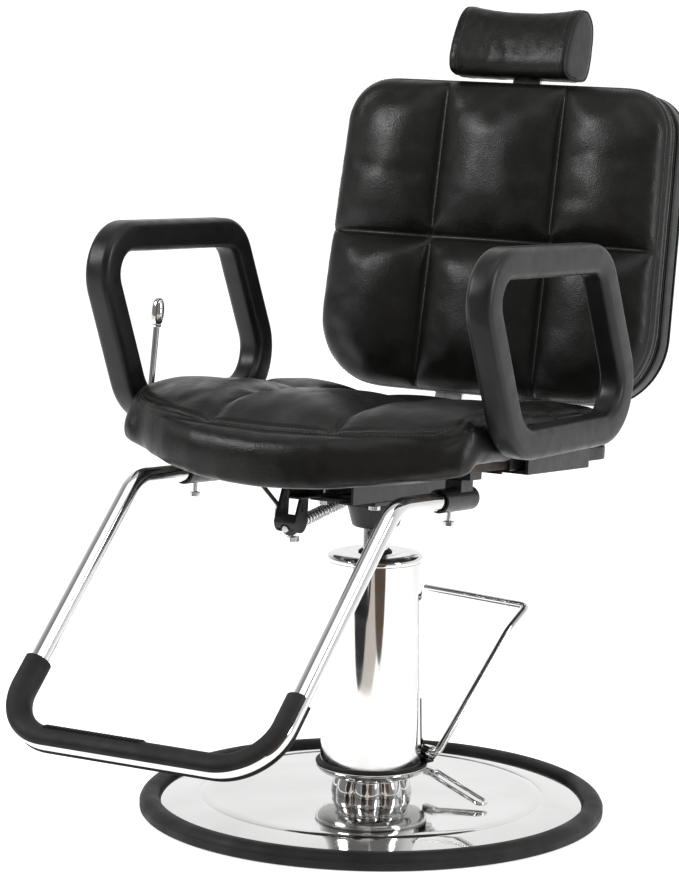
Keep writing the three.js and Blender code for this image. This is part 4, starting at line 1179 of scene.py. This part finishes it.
def make_footrest():
    top, foot = np.array((178, -275, 26.0)), np.array((176, -535, -252.0))
    mirror = np.array((-1, 1, 1))
    start = np.array((178, -88, 26.0))
    route = rounded_route([start, top, foot, foot * mirror, top * mirror, start * mirror],
                          [50, 66, 66, 50], 18)
    tube = swept("footrest_tube", route, circle(11, 28), CHROME, matrix=SEAT)
    attach(tube, "footrest", "chrome", "footrest_frame")
    leg_end = foot + (top - foot) * 0.27
    line = evenly(rounded_route([leg_end, foot, foot * mirror, leg_end * mirror], [66, 66], 30), 3)
    up = np.cross(foot - top, (1, 0, 0))
    tread = swept("rubber_tread", line, tread_section(), RUBBER, up=up, matrix=SEAT, sharp=40)
    normal = up / np.linalg.norm(up)
    inward = np.cross(normal, (1, 0, 0))
    inward *= np.sign(inward @ (top - foot))
    ribs = []
    for x in np.arange(-112, 20, 5.5):
        bottom = np.array((x, foot[1], foot[2]))
        points = []
        for angle in np.radians(np.linspace(-18, 62, 12)):
            points.append(bottom + 17.2 * (math.cos(angle) * inward + math.sin(angle) * normal))
        ribs.append(swept("rib", points, circle(1.6, 8), RUBBER, matrix=SEAT))
    tread = joined("rubber_tread_ribbed", [tread, *ribs])
    tread.data.shade_smooth()
    tread.data.set_sharp_from_angle(angle=math.radians(40))
    attach(tread, "footrest", "rubber", "foot_tread")


# ---- Armrests ----


def make_armrests():
    loop = rounded_route([(0, -246, 725), (0, 69, 708), (0, 170, 493), (0, -151, 505)],
                         [44, 48, 56, 66], 20, closed=True)
    loop = evenly(loop, 6, closed=True)
    section = rounded_box_section(37.5, 35, 9.5, 6)
    middle_x = 261
    for name, side in (("right", -1), ("left", 1)):
        route = loop.copy()
        route[:, 0] = side * middle_x
        arm = swept(f"arm_loop_{name}", route, section, ARM_FOAM, closed=True, up=(1, 0, 0), sharp=60)
        attach(arm, "seat_frame", "arm_plastic", f"armrest_{name}")


# ---- Recline hardware ----


def make_coil():
    """The recline spring: a wire wound round the line from the lock to the back's pin."""
    lock = np.array((-62, -97, 370.0))
    pin = np.array((-62, 245 + 44 * math.sin(math.radians(20)), 448 - 44 * math.cos(math.radians(20))))
    direction = (pin - lock) / np.linalg.norm(pin - lock)
    turns, start, end, wire, coil_radius = 22, 12.5, 170.0, 1.3, 6.7
    steps = turns * 18
    first = np.cross(direction, (1, 0, 0))
    first /= np.linalg.norm(first)
    second = np.cross(direction, first)
    points = []
    for i in range(steps + 1):
        angle = 2 * math.pi * turns * i / steps
        along = start + wire + (end - start - 2 * wire) * i / steps
        outward = math.cos(angle) * first + math.sin(angle) * second
        points.append(lock + direction * along + coil_radius * outward)
    coil = swept("recline_coil", points, circle(wire, 8), ZINC, sharp=80)
    attach(coil, "seat_frame", "zinc", "strut_spring")
    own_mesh(coil)


def make_release_lever():
    lever = swept("lever_rod", rounded_route([
        (-285, -66, 596), (-285, -89, 449), (-150, -89, 449), (-88, -90, 390), (-88, -92, 378)],
        [16, 22, 10], 14), circle(4, 18), CHROME)
    attach(lever, "release", "chrome", "release_lever")
    upright = Vector((0, 0, 1)).rotation_difference(Vector((0, 23, 147)).normalized())
    knob_frame = Matrix.Translation((-0.285, -0.066, 0.596)) @ upright.to_matrix().to_4x4()
    knob = lathe("lever_knob", [
        (0, 0.3), (5.2, 0.3), (5.8, 1), (6.2, 2.4), (5.4, 3.4), (5.4, 4.2), (6.6, 6), (7.6, 10),
        (8.1, 16), (8, 23), (7.4, 28.5), (6.2, 33), (4.2, 36), (2, 37.2), (0, 37.4)],
        CHROME, matrix=knob_frame, segments=48)
    attach(knob, "release", "chrome", "release_knob")


# ---- CAD nodes that stay ----


def dress_cad_nodes():
    """Each CAD node that still shows gets its finish and softly broken edges."""
    slots = {s["node"]: s["material_slot"] for s in frame["record"]["subparts"]}
    for name, node in nodes.items():
        if node.hide_render:
            continue
        node.data.materials.clear()
        node.data.materials.append(SLOT_MATERIAL[slots[name]])
        weld = node.modifiers.new("weld", "WELD")
        weld.merge_threshold = 1e-5
        bevel = node.modifiers.new("bevel", "BEVEL")
        bevel.width = 0.7 * MM
        bevel.segments = 2
        bevel.limit_method = "ANGLE"
        bevel.angle_limit = math.radians(40)
        node.data.shade_smooth()
        smooth = node.modifiers.new("flats", "WEIGHTED_NORMAL")
        smooth.keep_sharp = True


# ---- Assembly ----

make_camera()
make_floor()
make_light()

seat_skin, back_skin, pillow_skin = make_seat(), make_back(), make_pillow()
add_cloth(seat_skin, seat_pins(seat_skin), 4.0, 0.02)
add_cloth(back_skin, back_pins(back_skin), 4.0, 0.03)
add_cloth(pillow_skin, pillow_pins(pillow_skin), 2.5, 0.01)
run_cloth([(seat_skin, 16), (back_skin, 16), (pillow_skin, 5)])
finish_seat(seat_skin)
make_seat_skirt()
finish_back(back_skin)
make_back_shell()
finish_pillow(pillow_skin)

make_rubber_ring()
make_cover()
make_neck()
make_column()
make_pump_controls()
make_footrest()
make_armrests()
make_coil()
make_release_lever()
dress_cad_nodes()
